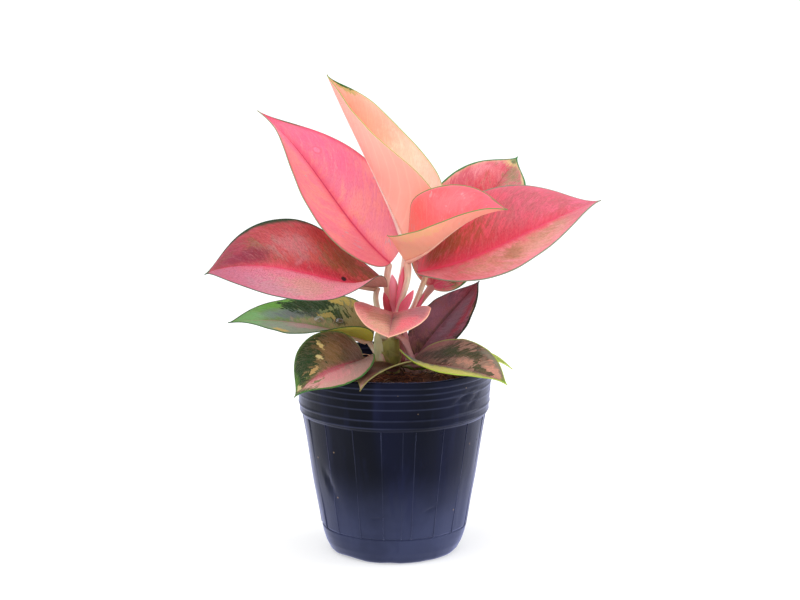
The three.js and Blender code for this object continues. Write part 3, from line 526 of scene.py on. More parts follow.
def leaf_patch():
    """One patch of a tint at a place on the blade. Edge is 0.05 for a crisp border and 0.5 for a
    soft one; Fray is how far the border follows the ragged noise."""
    group, tree, given = shader_group("leaf_patch", dict(
        skin=GREY, tint=GREY, along=0.5, across=0.0, length=0.1, width=0.2, edge=0.3, fray=2.0, strength=1.0,
        ragged=0.5), "Color")
    x = tree.math("DIVIDE", tree.less(tree.attribute("along"), given["Along"]), given["Length"])
    y = tree.math("DIVIDE", tree.less(tree.attribute("across"), given["Across"]), given["Width"])
    far = tree.vectors("LENGTH", tree.vector(x, y, 0.0), (0.0, 0.0, 0.0), 1)
    inside = tree.less(tree.scaled(tree.less(given["Ragged"], 0.5), given["Fray"], 1.0), far)
    mask = tree.ramp(inside, tree.times(given["Edge"], -1.0), given["Edge"])
    put_out(tree, {"Color": tree.mix(tree.times(mask, given["Strength"]), given["Skin"], given["Tint"])})
    return group


def leaf_lines():
    """What runs over the ground: threads along the veins, side veins, a tinted band beside the
    midrib (heart), a tinted rim, the midrib and the margin's line, and the blade's underside.
    Reads the attributes rim and rib (mm from the margin and from the midrib) and under."""
    group, tree, given = shader_group("leaf_lines", dict(
        skin=GREY, left=0.0, streak=0.5, grain=0.5, ragged=0.5, vein=0.0, fine=0.0, threads=GREY,
        thread_amount=0.3, vein_tint=GREY, vein_amount=0.1, fine_amount=0.1, heart=GREY, heart_width=6.0,
        heart_amount=0.0, rim=GREY, rim_width=6.0, rim_amount=0.0, midrib=GREY, midrib_width=1.5, margin=GREY,
        margin_left=0.5, margin_right=0.5, under=GREY, under_tip=GREY, under_ground=0.2),
        "Color Roughness Height")
    along, rim, rib = tree.attribute("along"), tree.attribute("rim"), tree.attribute("rib")
    place, streak, grain = tree.place(), given["Streak"], given["Grain"]
    threads = tree.times(tree.ramp(grain, 0.44, 0.66), given["Thread Amount"])
    uneven = tree.scaled(streak, 1.1, 0.45)

    def band(distance, width):
        near = tree.math("DIVIDE", distance, tree.math("MAXIMUM", width, 0.1))
        return tree.times(tree.math("EXPONENT", tree.times(tree.times(near, near), -1.0)), uneven)

    heart = tree.times(band(rib, given["Heart Width"]), given["Heart Amount"])
    heart = tree.times(heart, tree.ramp(along, 1.0, 0.6))
    beside_rim = tree.times(band(rim, given["Rim Width"]), given["Rim Amount"])
    veins = tree.scaled(given["Vein"], given["Vein Amount"], tree.times(given["Fine"], given["Fine Amount"]))
    veins = tree.times(veins, tree.scaled(given["Ragged"], 1.6, 0.2))
    width = tree.math("MAXIMUM", tree.times(given["Midrib Width"], tree.less(1.05, along)), 0.15)
    midrib_line = tree.times(tree.ramp(tree.math("DIVIDE", rib, width), 1.0, 0.1), 0.9)
    wide = tree.mix_values(given["Left"], given["Margin Right"], given["Margin Left"])
    wide = tree.times(tree.times(wide, tree.ramp(along, 0.0, 0.12)),
                      tree.scaled(tree.noise(place, 200.0, 3.0, 0.6), 1.6, 0.3))
    margin = tree.ramp(tree.math("DIVIDE", rim, tree.math("MAXIMUM", wide, 0.02)), 1.0, 0.5)
    skin = tree.layers(
        given["Skin"], (threads, given["Threads"]), (heart, given["Heart"]), (beside_rim, given["Rim"]),
        (veins, given["Vein Tint"]), (midrib_line, given["Midrib"]), (margin, given["Margin"]))
    below = tree.layers(
        given["Under"], (along, given["Under Tip"]), (given["Under Ground"], given["Skin"]),
        (tree.times(given["Vein"], 0.15), given["Vein Tint"]), (tree.times(threads, 0.35), given["Threads"]),
        (margin, given["Margin"]))
    skin = tree.mix(tree.attribute("under"), skin, below)
    skin = tree.shaded(skin, tree.ramp(tree.noise(place, 18.0, 2.0), 0.3, 0.7, 0.93, 1.04))
    rough = tree.add(tree.scaled(grain, 0.16, 0.36), tree.times(tree.attribute("under"), 0.1))
    height = tree.add(tree.scaled(grain, 0.5, tree.times(given["Fine"], -0.3)), tree.times(given["Vein"], -0.4))
    put_out(tree, {"Color": skin, "Roughness": rough, "Height": height})
    return group


def stalk_skin():
    """Fleshy stalk that reads reach (0 stem, 1 blade, up to 2 along the midrib below it), edge
    (1 and -1 at its two sides), channel (1 on the grooved face) and free (sheath points)."""
    group, tree, given = shader_group(
        "stalk_skin", {word: GREY for word in STALK_WORDS}, "Color Roughness Height")
    reach, edge = tree.attribute("reach"), tree.attribute("edge")
    channel, free = tree.attribute("channel"), tree.attribute("free")
    place = tree.place()
    stripes = tree.noise(tree.vector(tree.times(edge, 7.0), tree.times(reach, 5.0), 0.0), 1.0, 3.0, 0.6)
    side = tree.ramp(tree.math("ABSOLUTE", edge), 0.55, 0.98)
    side = tree.times(side, tree.ramp(reach, 0.75, 0.35, 0.15, 0.9))
    skin = tree.layers(
        given["Low"], (tree.ramp(reach, 0.0, 0.5), given["Middle"]), (tree.ramp(reach, 0.6, 1.0), given["High"]),
        (side, given["Edge"]), (tree.times(tree.ramp(channel, 0.2, 0.9), 0.25), given["Edge"]),
        (tree.times(free, tree.ramp(stripes, 0.2, 0.7, 0.75, 1.0)), given["Free"]))
    shade = tree.ramp(stripes, 0.3, 0.7, 0.86, 1.05)
    shade = tree.times(shade, tree.ramp(tree.noise(place, 160.0, 3.0, 0.6), 0.3, 0.7, 0.93, 1.04))
    skin = tree.shaded(skin, shade)
    height = tree.add(stripes, tree.times(tree.noise(place, 700.0, 2.0), 0.3))
    put_out(tree, {"Color": skin, "Roughness": tree.scaled(stripes, 0.14, 0.34), "Height": height})
    return group


def grit():
    """Fine grain, soft cloudy change and scattered specks of dust, on Object coordinates."""
    group, tree, given = shader_group("grit", dict(
        grain_scale=900.0, cloud_scale=30.0, speck_scale=240.0, speck_amount=0.2), "Cloud Grain Speck Height")
    place = tree.place()
    cloud = tree.noise(place, given["Cloud Scale"], 4.0, 0.6)
    grain = tree.noise(place, given["Grain Scale"], 3.0, 0.7)
    cells = tree.put("ShaderNodeTexVoronoi", {"Vector": place, "Scale": given["Speck Scale"]})
    chance = tree.put("ShaderNodeSeparateColor", {0: cells.outputs["Color"]}).outputs[0]
    speck = tree.times(tree.ramp(cells.outputs["Distance"], 0.3, 0.12),
                       tree.math("LESS_THAN", chance, given["Speck Amount"]))
    height = tree.add(tree.add(grain, cloud), tree.times(speck, 1.5))
    put_out(tree, {"Cloud": cloud, "Grain": grain, "Speck": speck, "Height": height})
    return group


def blade_material(name, groups, leaf):
    """Ground, then the leaf's own patches, then its lines."""
    fields, ground, patch, lines = groups
    material, tree, shader = new_material(name)
    look = SKINS[leaf]
    field = placed(tree, fields, {"seed": look["seed"]})

    def reads(*names):
        return {key: field[key.title()] for key in names}

    def patched(under, patches):
        for values in patches:
            under = placed(tree, patch, dict(zip(PATCH_WORDS, values), skin=under, **reads("ragged")))["Color"]
        return under

    skin = placed(tree, ground, dict(zip(GROUND_WORDS, look["ground"]),
                                     **reads("left", "streak", "ragged", "cloud", "dots")))
    over = placed(tree, lines, dict(zip(LINE_WORDS, look["lines"]), skin=patched(skin["Color"], look["patches"]),
                                    **reads("left", "streak", "grain", "ragged", "vein", "fine")))
    finished = patched(over["Color"], look.get("marks", []))
    dress(tree, shader, finished, over["Roughness"], over["Height"], 0.0003, 0.6, Specular_IOR_Level=0.17,
          Subsurface_Weight=0.15, Subsurface_Radius=(1.0, 0.45, 0.3), Subsurface_Scale=0.004)
    # Painted glow: the blade emits its own colour, painted light standing in for light that passes through it.
    if "painted_glow" in look:
        tree.feed(shader.inputs["Emission Color"], finished)
        set_plain(shader, {"Emission Strength": look["painted_glow"]})
    return material


def stalk_material(name, skin_group, tones):
    material, tree, shader = new_material(name)
    skin = placed(tree, skin_group, dict(zip(STALK_WORDS, tones)))
    dress(tree, shader, skin["Color"], skin["Roughness"], skin["Height"], 0.0002, 0.35, Specular_IOR_Level=0.45,
          Subsurface_Weight=0.3, Subsurface_Radius=(1.0, 0.55, 0.4), Subsurface_Scale=0.003)
    return material


def pot_plastic(grit_group):
    """Thin black plastic with a blue cast, with painted reflection bands, painted highlights on its ring crests
    and seams, and lighter lower down with soil dust and a painted reflection of the floor.
    """
    material, tree, shader = new_material("black pot plastic")
    fine = placed(tree, grit_group, dict(grain_scale=700.0, cloud_scale=16.0, speck_scale=330.0,
                                         speck_amount=0.006))
    place = tree.place()
    height = tree.put("ShaderNodeSeparateXYZ", {0: place}).outputs[2]
    turned = tree.vectors("ADD", place, (0.011, 0.0, 0.0))
    drawn = tree.noise(tree.vectors("MULTIPLY", turned, (1.0, 1.0, 0.12)), 90.0, 3.0, 0.6)
    # Broad upright bands of lighter navy: painted reflection bands.
    reflection_bands = tree.noise(tree.vectors("MULTIPLY", turned, (1.0, 1.0, 0.1)), 22.0, 2.0, 0.5)
    # Lighter lower down: partly soil dust, partly a painted reflection of the pale floor.
    dust_and_floor_reflection = tree.times(tree.ramp(height, 0.08, 0.02), tree.ramp(fine["Cloud"], 0.2, 0.7, 0.5, 1.0))
    # Lighter ring crests and seams: a painted highlight.
    worn = tree.times(tree.attribute("worn"), tree.ramp(fine["Cloud"], 0.35, 0.65, 0.1, 0.7))
    skin = tree.layers(
        "#03040b", (tree.ramp(reflection_bands, 0.38, 0.62), "#080b20"), (tree.times(dust_and_floor_reflection, 0.7), "#444a6a"),
        (tree.ramp(drawn, 0.5, 0.8, 0.0, 0.4), "#1c2040"), (worn, "#34384e"),
        (tree.times(fine["Speck"], 0.7), "#9c8468"))
    rough = tree.add(tree.scaled(fine["Cloud"], 0.2, 0.2), tree.times(dust_and_floor_reflection, 0.12))
    rough = tree.add(rough, tree.times(fine["Speck"], 0.3))
    dress(tree, shader, skin, rough, tree.add(tree.times(fine["Height"], 0.4), drawn), 0.0004, 0.35,
          Specular_IOR_Level=0.12, Specular_Tint=(0.68, 0.74, 1.0, 1.0), Sheen_Weight=0.9, Sheen_Roughness=0.3,
          Sheen_Tint=(0.5, 0.55, 1.0, 1.0))
    return material


def earth(name, grit_group, dark, brown, pale, speck_amount):
    """Damp potting mix, or the bits in it."""
    material, tree, shader = new_material(name)
    fine = placed(tree, grit_group, dict(grain_scale=520.0, cloud_scale=95.0, speck_scale=420.0,
                                         speck_amount=speck_amount))
    skin = tree.layers(
        dark, (tree.ramp(fine["Cloud"], 0.35, 0.65), brown),
        (tree.ramp(fine["Grain"], 0.5, 0.75, 0.0, 0.7), pale), (tree.times(fine["Speck"], 0.8), pale))
    dress(tree, shader, skin, tree.scaled(fine["Grain"], 0.2, 0.7), fine["Height"], 0.0009, 0.8,
          Specular_IOR_Level=0.3)
    return material


def cane_bark(grit_group):
    """Green cane with pale streaks, pinker towards the top and with a brown foot."""
    material, tree, shader = new_material("green cane")
    fine = placed(tree, grit_group, dict(grain_scale=420.0, cloud_scale=70.0, speck_scale=300.0,
                                         speck_amount=0.1))
    place = tree.place()
    height = tree.put("ShaderNodeSeparateXYZ", {0: place}).outputs[2]
    drawn = tree.noise(tree.vectors("MULTIPLY", place, (1.0, 1.0, 0.15)), 260.0, 3.0, 0.6)
    skin = tree.layers(
        "#8c8c44", (tree.ramp(fine["Cloud"], 0.35, 0.65), "#bcb468"), (tree.ramp(height, 0.15, 0.178), "#c48c78"),
        (tree.ramp(height, 0.148, 0.137), "#5c4a2c"), (tree.ramp(drawn, 0.5, 0.75, 0.0, 0.5), "#b4ac70"),
        (tree.times(fine["Speck"], 0.6), "#4c3c28"))
    bark = tree.add(drawn, tree.times(fine["Grain"], 0.4))
    dress(tree, shader, skin, tree.scaled(fine["Grain"], 0.2, 0.38), bark, 0.0005, 0.5,
          Subsurface_Weight=0.1, Subsurface_Scale=0.002)
    return material


def water():
    material, tree, shader = new_material("clear water")
    set_plain(shader, {"Base Color": (1.0, 1.0, 1.0, 1.0), "Transmission Weight": 1.0, "IOR": 1.38,
                       "Coat Weight": 1.0, "Coat IOR": 1.9, "Coat Roughness": 0.03})
    tree.feed(shader.inputs["Roughness"], tree.ramp(tree.noise(tree.place(), 400.0, 1.0), 0.0, 1.0, 0.02, 0.05))
    return material


# ---------------------------------------------------------------- geometry trees

def geometry_group(name, inputs):
    """A geometry group with one geometry in and out and named inputs (name, kind, default)."""
    group = bpy.data.node_groups.new(name, "GeometryNodeTree")
    group.interface.new_socket("Geometry", in_out="INPUT", socket_type="NodeSocketGeometry")
    for label, kind, default in inputs + [("Finish", "Material", None)]:
        socket = group.interface.new_socket(label, in_out="INPUT", socket_type="NodeSocket" + kind)
        if default is not None:
            socket.default_value = default
    group.interface.new_socket("Geometry", in_out="OUTPUT", socket_type="NodeSocketGeometry")
    tree = Tree(group)
    return group, tree, tree.put("NodeGroupInput").outputs


def end_group(tree, shape, finish):
    solid = tree.shape("RealizeInstances", {"Geometry": shape})
    painted = tree.shape("SetMaterial", {"Geometry": solid, "Material": finish})
    tree.feed(tree.put("NodeGroupOutput").inputs[0], painted)


def grown_mesh(group, source, values):
    """The plain mesh that a geometry group makes from a source mesh."""
    maker = bpy.data.objects.new(source.name, source)
    bpy.context.scene.collection.objects.link(maker)
    modifier = maker.modifiers.new("grow", "NODES")
    modifier.node_group = group
    for socket in group.interface.items_tree:
        if socket.in_out == "INPUT" and socket.name in values:
            modifier[socket.identifier] = values[socket.name]
    graph = bpy.context.evaluated_depsgraph_get()
    mesh = bpy.data.meshes.new_from_object(
        maker.evaluated_get(graph), preserve_all_data_layers=True, depsgraph=graph)
    maker.modifiers.clear()
    bpy.data.objects.remove(maker)
    return mesh


def swept_grid(tree, given):
    """A grid with one row for each point of the source and a turn of columns. Returns the grid,
    the angle of each point and a call that reads a source attribute at its row."""
    count = tree.shape("AttributeDomainSize", {"Geometry": given["Geometry"]}, component="MESH")
    grid = tree.shape("MeshGrid", {
        "Size X": 1.0, "Size Y": 1.0, "Vertices X": count, "Vertices Y": tree.add(given["Sides"], 1.0)})
    spot = tree.put("ShaderNodeSeparateXYZ", {0: tree.shape("InputPosition")}).outputs
    row = tree.math("ROUND", tree.times(tree.add(spot[0], 0.5), tree.less(count, 1.0)))
    turn = tree.times(tree.add(spot[1], 0.5), 2 * math.pi)

    def read(name, kind="FLOAT"):
        if name == "position":
            field = tree.shape("InputPosition")
        else:
            field = tree.shape("InputNamedAttribute", {"Name": name}, data_type=kind)
        return tree.shape("SampleIndex", {"Geometry": given["Geometry"], "Value": field, "Index": row},
                        data_type=kind, domain="POINT")

    return grid, turn, read


def closed_grid(tree, grid, place):
    """The grid moved to its places, with its seam and poles merged."""
    body = tree.shape("SetPosition", {"Geometry": grid, "Position": place})
    return tree.shape("MergeByDistance", {"Geometry": body, "Distance": 2e-6})


def turned_body_group():
    """A body turned round the Z axis from a profile of points."""
    group, tree, given = geometry_group("turned_body", [("Sides", "Int", 96)])
    grid, turn, read = swept_grid(tree, given)
    place = tree.put("ShaderNodeVectorRotate", {
        "Vector": read("position", "FLOAT_VECTOR"), "Angle": turn}, rotation_type="Z_AXIS").outputs[0]
    end_group(tree, closed_grid(tree, grid, place), given["Finish"])
    return group


def fleshy_stalk_group():
    """A stalk along a path. The path's points carry side and up directions, width, thickness,
    bend (how far the section wraps) and reach. The face towards up is flattened."""
    group, tree, given = geometry_group("fleshy_stalk", [("Sides", "Int", 20), ("Channel Depth", "Float", 0.55)])
    grid, turn, read = swept_grid(tree, given)
    cos, sin = tree.math("COSINE", turn), tree.math("SINE", turn)
    across = tree.times(tree.times(read("width"), 0.5), cos)
    above = tree.math("GREATER_THAN", sin, 0.0)
    share = tree.less(1.0, tree.times(above, tree.less(1.0, given["Channel Depth"])))
    rise = tree.times(tree.times(read("thickness"), 0.5), tree.times(sin, share))
    rise = tree.add(rise, tree.times(read("bend"), tree.times(across, across)))
    place = tree.vectors("ADD", read("position", "FLOAT_VECTOR"),
                         tree.vectors("SCALE", read("side", "FLOAT_VECTOR"), across))
    place = tree.vectors("ADD", place, tree.vectors("SCALE", read("up", "FLOAT_VECTOR"), rise))
    for name, value in (("reach", read("reach")), ("free", read("free")), ("edge", cos), ("channel", sin)):
        grid = tree.shape("StoreNamedAttribute", {"Geometry": grid, "Name": name, "Value": value},
                        data_type="FLOAT", domain="POINT")
    end_group(tree, closed_grid(tree, grid, place), given["Finish"])
    return group


def moulded_seams_group():
    """Fine upright seams round a tapered wall, some a little off their even spacing."""
    group, tree, given = geometry_group("moulded_seams", [
        ("Count", "Int", SEAMS), ("Low Radius", "Float", 0.05), ("High Radius", "Float", 0.07),
        ("Low", "Float", 0.02), ("High", "Float", 0.1), ("Width", "Float", 0.001),
        ("Unevenness", "Float", 0.03), ("Turn", "Float", 0.0), ("Seed", "Int", 3)])
    line = tree.shape("CurvePrimitiveLine", {
        "Start": tree.vector(given["Low Radius"], 0.0, given["Low"]),
        "End": tree.vector(given["High Radius"], 0.0, given["High"])})
    line = tree.shape("ResampleCurve", {"Curve": line, "Count": 40})
    across = tree.shape("CurvePrimitiveCircle", {
        "Resolution": 8, "Radius": tree.times(given["Width"], 0.5)})
    seam = tree.shape("CurveToMesh", {"Curve": line, "Profile Curve": across, "Fill Caps": True})
    points = tree.shape("Points", {"Count": given["Count"]})
    index = tree.shape("InputIndex")
    off = tree.chance(tree.times(given["Unevenness"], -1.0), given["Unevenness"], given["Seed"])
    turn = tree.math("DIVIDE", tree.times(index, 2 * math.pi), given["Count"])
    turn = tree.add(tree.add(turn, off), given["Turn"])
    ring = tree.shape("InstanceOnPoints", {
        "Points": points, "Instance": seam, "Rotation": tree.vector(0.0, 0.0, turn)})
    end_group(tree, ring, given["Finish"])
    return group


def strewn(tree, given, thing, low, high, smallest, largest, wide, roughen, grain):
    """Copies of a thing strewn over the source's faces, turned and sized at random, and shaken
    so that no two are alike."""
    spread = tree.put("GeometryNodeDistributePointsOnFaces", {
        "Mesh": given["Geometry"], "Density": given["Density"], "Seed": given["Seed"]})
    copies = tree.shape("InstanceOnPoints", {
        "Points": spread.outputs[0], "Instance": thing, "Rotation": tree.chance(low, high, given["Seed"], True),
        "Scale": tree.chance(smallest, largest, tree.add(given["Seed"], 7.0), wide)})
    solid = tree.shape("RealizeInstances", {"Geometry": copies})
    shake = tree.noise(tree.shape("InputPosition"), grain, 1.0, result=1)
    shake = tree.vectors("SCALE", tree.vectors("SUBTRACT", shake, (0.5, 0.5, 0.5)), roughen)
    return tree.shape("SetPosition", {"Geometry": solid, "Offset": shake})


def scattered_bits_group():
    """Crumbs and chips lying on a surface, each a rough small stone of its own size."""
    group, tree, given = geometry_group("scattered_bits", [
        ("Density", "Float", 1000.0), ("Smallest", "Vector", (0.001, 0.001, 0.001)),
        ("Largest", "Vector", (0.002, 0.002, 0.002)), ("Lying", "Float", 3.1),
        ("Roughen", "Float", 0.3), ("Seed", "Int", 1)])
    stone = tree.shape("MeshIcoSphere", {"Radius": 0.5, "Subdivisions": 1})
    lying, down = given["Lying"], tree.times(given["Lying"], -1.0)
    solid = strewn(tree, given, stone, tree.vector(down, down, 0.0), tree.vector(lying, lying, 6.28),
                   given["Smallest"], given["Largest"], True, given["Roughen"], 900.0)
    end_group(tree, solid, given["Finish"])
    return group


def coir_strands_group():
    """Short curved coir strands lying on a surface."""
    group, tree, given = geometry_group("coir_strands", [
        ("Density", "Float", 1000.0), ("Length", "Float", 0.02), ("Radius", "Float", 0.0002), ("Seed", "Int", 1)])
    half = tree.times(given["Length"], 0.5)
    strand = tree.shape("CurveQuadraticBezier", {
        "Resolution": 9, "Start": tree.vector(tree.times(half, -1.0), 0.0, 0.0),
        "Middle": tree.vector(0.0, tree.times(half, 0.7), tree.times(half, 0.35)),
        "End": tree.vector(half, 0.0, 0.0)})
    across = tree.shape("CurvePrimitiveCircle", {"Resolution": 4, "Radius": given["Radius"]})
    strand = tree.shape("CurveToMesh", {"Curve": strand, "Profile Curve": across, "Fill Caps": True})
    solid = strewn(tree, given, strand, (-0.5, -0.35, 0.0), (0.9, 0.35, 6.28), 0.4, 1.0, False, 0.004, 160.0)
    end_group(tree, solid, given["Finish"])
    return group


# ---------------------------------------------------------------- mesh helpers

def unit(vectors):
    return vectors / np.linalg.norm(vectors, axis=-1, keepdims=True)


def smooth_step(x, low, high):
    x = np.clip((np.asarray(x, float) - low) / (high - low), 0, 1)
    return x * x * (3 - 2 * x)


def clouds(points, size, seed=0.0):
    """Smooth noise, about -1 to 1, at points in millimetres."""
    return np.array([noise.noise(Vector(p) / size + Vector((seed, 2 * seed, -seed))) for p in points])


def source_mesh(name, points, edges=(), faces=(), **attributes):
    """A bare mesh from points in metres for a geometry group to work on."""
    mesh = bpy.data.meshes.new(name)
    mesh.from_pydata(np.asarray(points, float).tolist(), list(edges), list(faces))
    for key, values in attributes.items():
        values = np.asarray(values, np.float32)
        wide = values.ndim == 2
        layer = mesh.attributes.new(key, "FLOAT_VECTOR" if wide else "FLOAT", "POINT")
        layer.data.foreach_set("vector" if wide else "value", values.ravel())
    return mesh


def mesh_parts(mesh, keys=()):
    """Points in millimetres, faces and float attributes of a mesh."""
    points = np.empty(len(mesh.vertices) * 3, np.float32)
    mesh.vertices.foreach_get("co", points)
    attributes = {}
    for key in keys:
        attributes[key] = np.empty(len(mesh.vertices), np.float32)
        mesh.attributes[key].data.foreach_get("value", attributes[key])
    return points.reshape(-1, 3) / MM, [tuple(face.vertices) for face in mesh.polygons], attributes


def turned_parts(name, profile, sides):
    """Points and faces of a body turned from (radius, height) points in millimetres."""
    profile = np.asarray(profile, float)
    points = np.stack([profile[:, 0], 0 * profile[:, 0], profile[:, 1]], -1) * MM
    source = source_mesh(name, points, edges=chain(len(points)))
    return mesh_parts(grown_mesh(TURNED_BODY, source, {"Sides": sides}))[:2]


def chain(count):
    return [(i, i + 1) for i in range(count - 1)]


def off_axis(points):
    return np.hypot(points[:, 0], points[:, 1])


def joined(parts):
    """One set of points, faces, attributes and finish numbers from several of
    (points, faces, attributes, finish number)."""
    keys = sorted({key for part in parts for key in part[2]})
    points, faces, finish, start = [], [], [], 0
    attributes = {key: [] for key in keys}
    for part_points, part_faces, part_attributes, number in parts:
        points.append(part_points)
        faces += [tuple(v + start for v in face) for face in part_faces]
        finish += [number] * len(part_faces)
        start += len(part_points)
        for key in keys:
            attributes[key].append(part_attributes.get(key, np.zeros(len(part_points))))
    return np.concatenate(points), faces, {k: np.concatenate(v) for k, v in attributes.items()}, finish


def new_piece(name, points, faces, materials, attributes=None, finish=None, smooth=True):
    """A closed piece that rides on the plant. Points in millimetres."""
    mesh = bpy.data.meshes.new(name)
    mesh.from_pydata((np.asarray(points) * MM).tolist(), [], faces)
    for key, values in (attributes or {}).items():
        layer = mesh.attributes.new(key, "FLOAT", "POINT")
        layer.data.foreach_set("value", np.asarray(values, np.float32))
    for material in materials:
        mesh.materials.append(material)
    if finish is not None:
        mesh.polygons.foreach_set("material_index", np.asarray(finish, np.int32))
    facing_out(mesh, smooth)
    piece = bpy.data.objects.new(name, mesh)
    bpy.context.scene.collection.objects.link(piece)
    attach(piece, "root")
    return piece


def facing_out(mesh, smooth=True):
    work = bmesh.new()
    work.from_mesh(mesh)
    bmesh.ops.recalc_face_normals(work, faces=work.faces)
    for face in work.faces:
        face.smooth = smooth
    work.to_mesh(mesh)
    work.free()


def closed_sheet(middle, normal, thickness, edge):
    """A thin closed shell about a grid of middle points. Returns its points and faces, and the
    column of the grid and the face (0 upper, 1 lower) of each point round one row."""
    rows, columns = middle.shape[:2]
    upper, lower = middle + normal * thickness / 2, middle - normal * thickness / 2
    first = middle[:, :1] + unit(middle[:, :1] - middle[:, 1:2]) * edge
    last = middle[:, -1:] + unit(middle[:, -1:] - middle[:, -2:-1]) * edge
    ring = np.concatenate([upper, last, lower[:, ::-1], first], 1)
    around = ring.shape[1]
    faces = []
    for i in range(rows - 1):
        for j in range(around):
            k = (j + 1) % around
            faces.append((i * around + j, i * around + k, (i + 1) * around + k, (i + 1) * around + j))
    for start in (0, (rows - 1) * around):
        for j in range(columns - 1):
            faces.append((start + j, start + j + 1, start + 2 * columns - j - 1, start + 2 * columns - j))
        faces.append((start + columns - 1, start + columns, start + columns + 1))
        faces.append((start, start + 2 * columns, start + 2 * columns + 1))
    column = np.concatenate([np.arange(columns), [columns - 1], np.arange(columns)[::-1], [0]])
    under = np.concatenate([np.zeros(columns), [0.5], np.ones(columns), [0.5]])
    return ring.reshape(-1, 3), faces, column, under


# ---------------------------------------------------------------- leaves

def along_three(values, s):
    """Parabola through the values at 0, 0.5 and 1."""
    start, middle, end = values
    return start * (1 - s) * (1 - 2 * s) + middle * 4 * s * (1 - s) + end * s * (2 * s - 1)


def blade_frame(row, s):
    """Forward, left and up directions of a blade at each share s of its length."""
    heading, pitch, roll = (np.radians(along_three(row[k], s)) for k in ("heading", "pitch", "roll"))
    level = np.cos(pitch)
    forward = np.stack([level * np.cos(heading), level * np.sin(heading), np.sin(pitch)], -1)
    flat_left = np.stack([-np.sin(heading), np.cos(heading), np.zeros_like(s)], -1)
    flat_up = np.cross(forward, flat_left)
    cos, sin = np.cos(roll)[:, None], np.sin(roll)[:, None]
    return forward, flat_left * cos + flat_up * sin, flat_up * cos - flat_left * sin


def midrib(row, s):
    steps = 240
    forward = blade_frame(row, (np.arange(steps) + 0.5) / steps)[0]
    line = np.concatenate([np.zeros((1, 3)), np.cumsum(forward, 0)]) * row["length"] / steps + row["base"]
    return np.stack([np.interp(s, np.linspace(0, 1, steps + 1), line[:, k]) for k in range(3)], -1)


def half_width(row, s):
    bulge = np.sin(np.pi * s ** (math.log(0.5) / math.log(row["peak"])))
    return row["width"] / 2 * np.maximum(0, bulge) ** BLADE_FULLNESS * (1 - s ** row["taper"])


def blade_surface(row, s, u):
    """Middle points, upward normals and half widths of a blade on the grid of s and u."""
    forward, left, up = (d[:, None] for d in blade_frame(row, s))
    half = np.maximum(0.3, half_width(row, s))[:, None]
    t, side = np.abs(u)[None, :], np.where(u < 0, -1.0, 1.0)[None, :]
    folds = [along_three(row[word], s)[:, None] for word in ("fold_left", "fold_right")]
    fold, curl = np.where(side > 0, *folds), np.where(side > 0, row["curl_left"], row["curl_right"])
    fold, curl = np.radians(fold), np.radians(np.where(curl == 0, 0.01, curl))
    out = (np.sin(fold + curl * t) - np.sin(fold)) / curl
    rise = (np.cos(fold) - np.cos(fold + curl * t)) / curl
    back = row["lobe"] * row["length"] * t ** 2 * np.maximum(0, 1 - 2 * s[:, None]) ** 2
    points = midrib(row, s)[:, None] + left * (side * half * out)[..., None]
    points = points + up * (half * rise)[..., None] - forward * back[..., None]
    lean = (fold + curl * t) * smooth_step(t, 0, 0.04)
    normal = up * np.cos(lean)[..., None] - left * (side * np.sin(lean))[..., None]
    return points, normal, half


def blade_relief(s, u, half, seed):
    """Quilting between the side veins, the midrib's groove and a wavy margin, in mm."""
    chance = np.random.default_rng(seed)
    t = np.abs(u)[None, :]
    phase = (s[:, None] - VEIN_SWEEP * t - VEIN_CURVE * t ** 2) * VEINS
    quilt = QUILT_HEIGHT * np.cos(2 * np.pi * phase) * np.sin(np.pi * np.clip(t, 0, 1)) ** 0.8
    groove = -GROOVE_DEPTH * np.exp(-(t * half / 1.2) ** 2)
    wave = np.zeros((len(s), len(u)))
    for cycles in (2.2, 3.7, 6.1):
        turn = np.where(u < 0, chance.uniform(0, 6.3), chance.uniform(0, 6.3))[None, :]
        wave += np.sin(2 * np.pi * cycles * s[:, None] + turn) * 0.55 / cycles
    ends = np.sin(np.pi * s)[:, None] ** 0.7
    ripple = MARGIN_WAVE * wave * t ** 3 * ends * np.minimum(1, half / 20)
    return (quilt + groove) * ends * np.minimum(1, half / 12) + ripple


def blade_parts(row, seed, rows=116, columns=63):
    s = 0.5 - 0.5 * np.cos(np.pi * np.linspace(0, 1, rows))
    v = np.linspace(1, -1, columns)
    u = np.sign(v) * (0.6 * np.abs(v) + 0.4 * np.abs(v) ** 2)
    points, normal, half = blade_surface(row, s, u)
    middle = points + normal * blade_relief(s, u, half, seed)[..., None]
    points, faces, column, under = closed_sheet(middle, normal, BLADE_THICKNESS, BLADE_EDGE)
    across = np.repeat(u[column][None, :], rows, 0)
    along = np.repeat(s[:, None], len(column), 1)
    rim = np.minimum((1 - np.abs(across)) * half, (1 - along) * row["length"] * 0.5)
    attributes = {"along": along, "across": across, "rim": rim, "rib": np.abs(across) * half,
                  "under": np.repeat(under[None, :], rows, 0)}
    return points, faces, {key: value.ravel() for key, value in attributes.items()}, 0


def stem_radius(z):
    return np.interp(z, [p[1] for p in STEM_PROFILE], [p[0] for p in STEM_PROFILE])


def bezier(p, t):
    t = np.asarray(t)[:, None]
    return (1 - t) ** 3 * p[0] + 3 * (1 - t) ** 2 * t * p[1] + 3 * (1 - t) * t ** 2 * p[2] + t ** 3 * p[3]


def bezier_slope(p, t):
    t = np.asarray(t)[:, None]
    return unit((1 - t) ** 2 * (p[1] - p[0]) + 2 * (1 - t) * t * (p[2] - p[1]) + t ** 2 * (p[3] - p[2]))


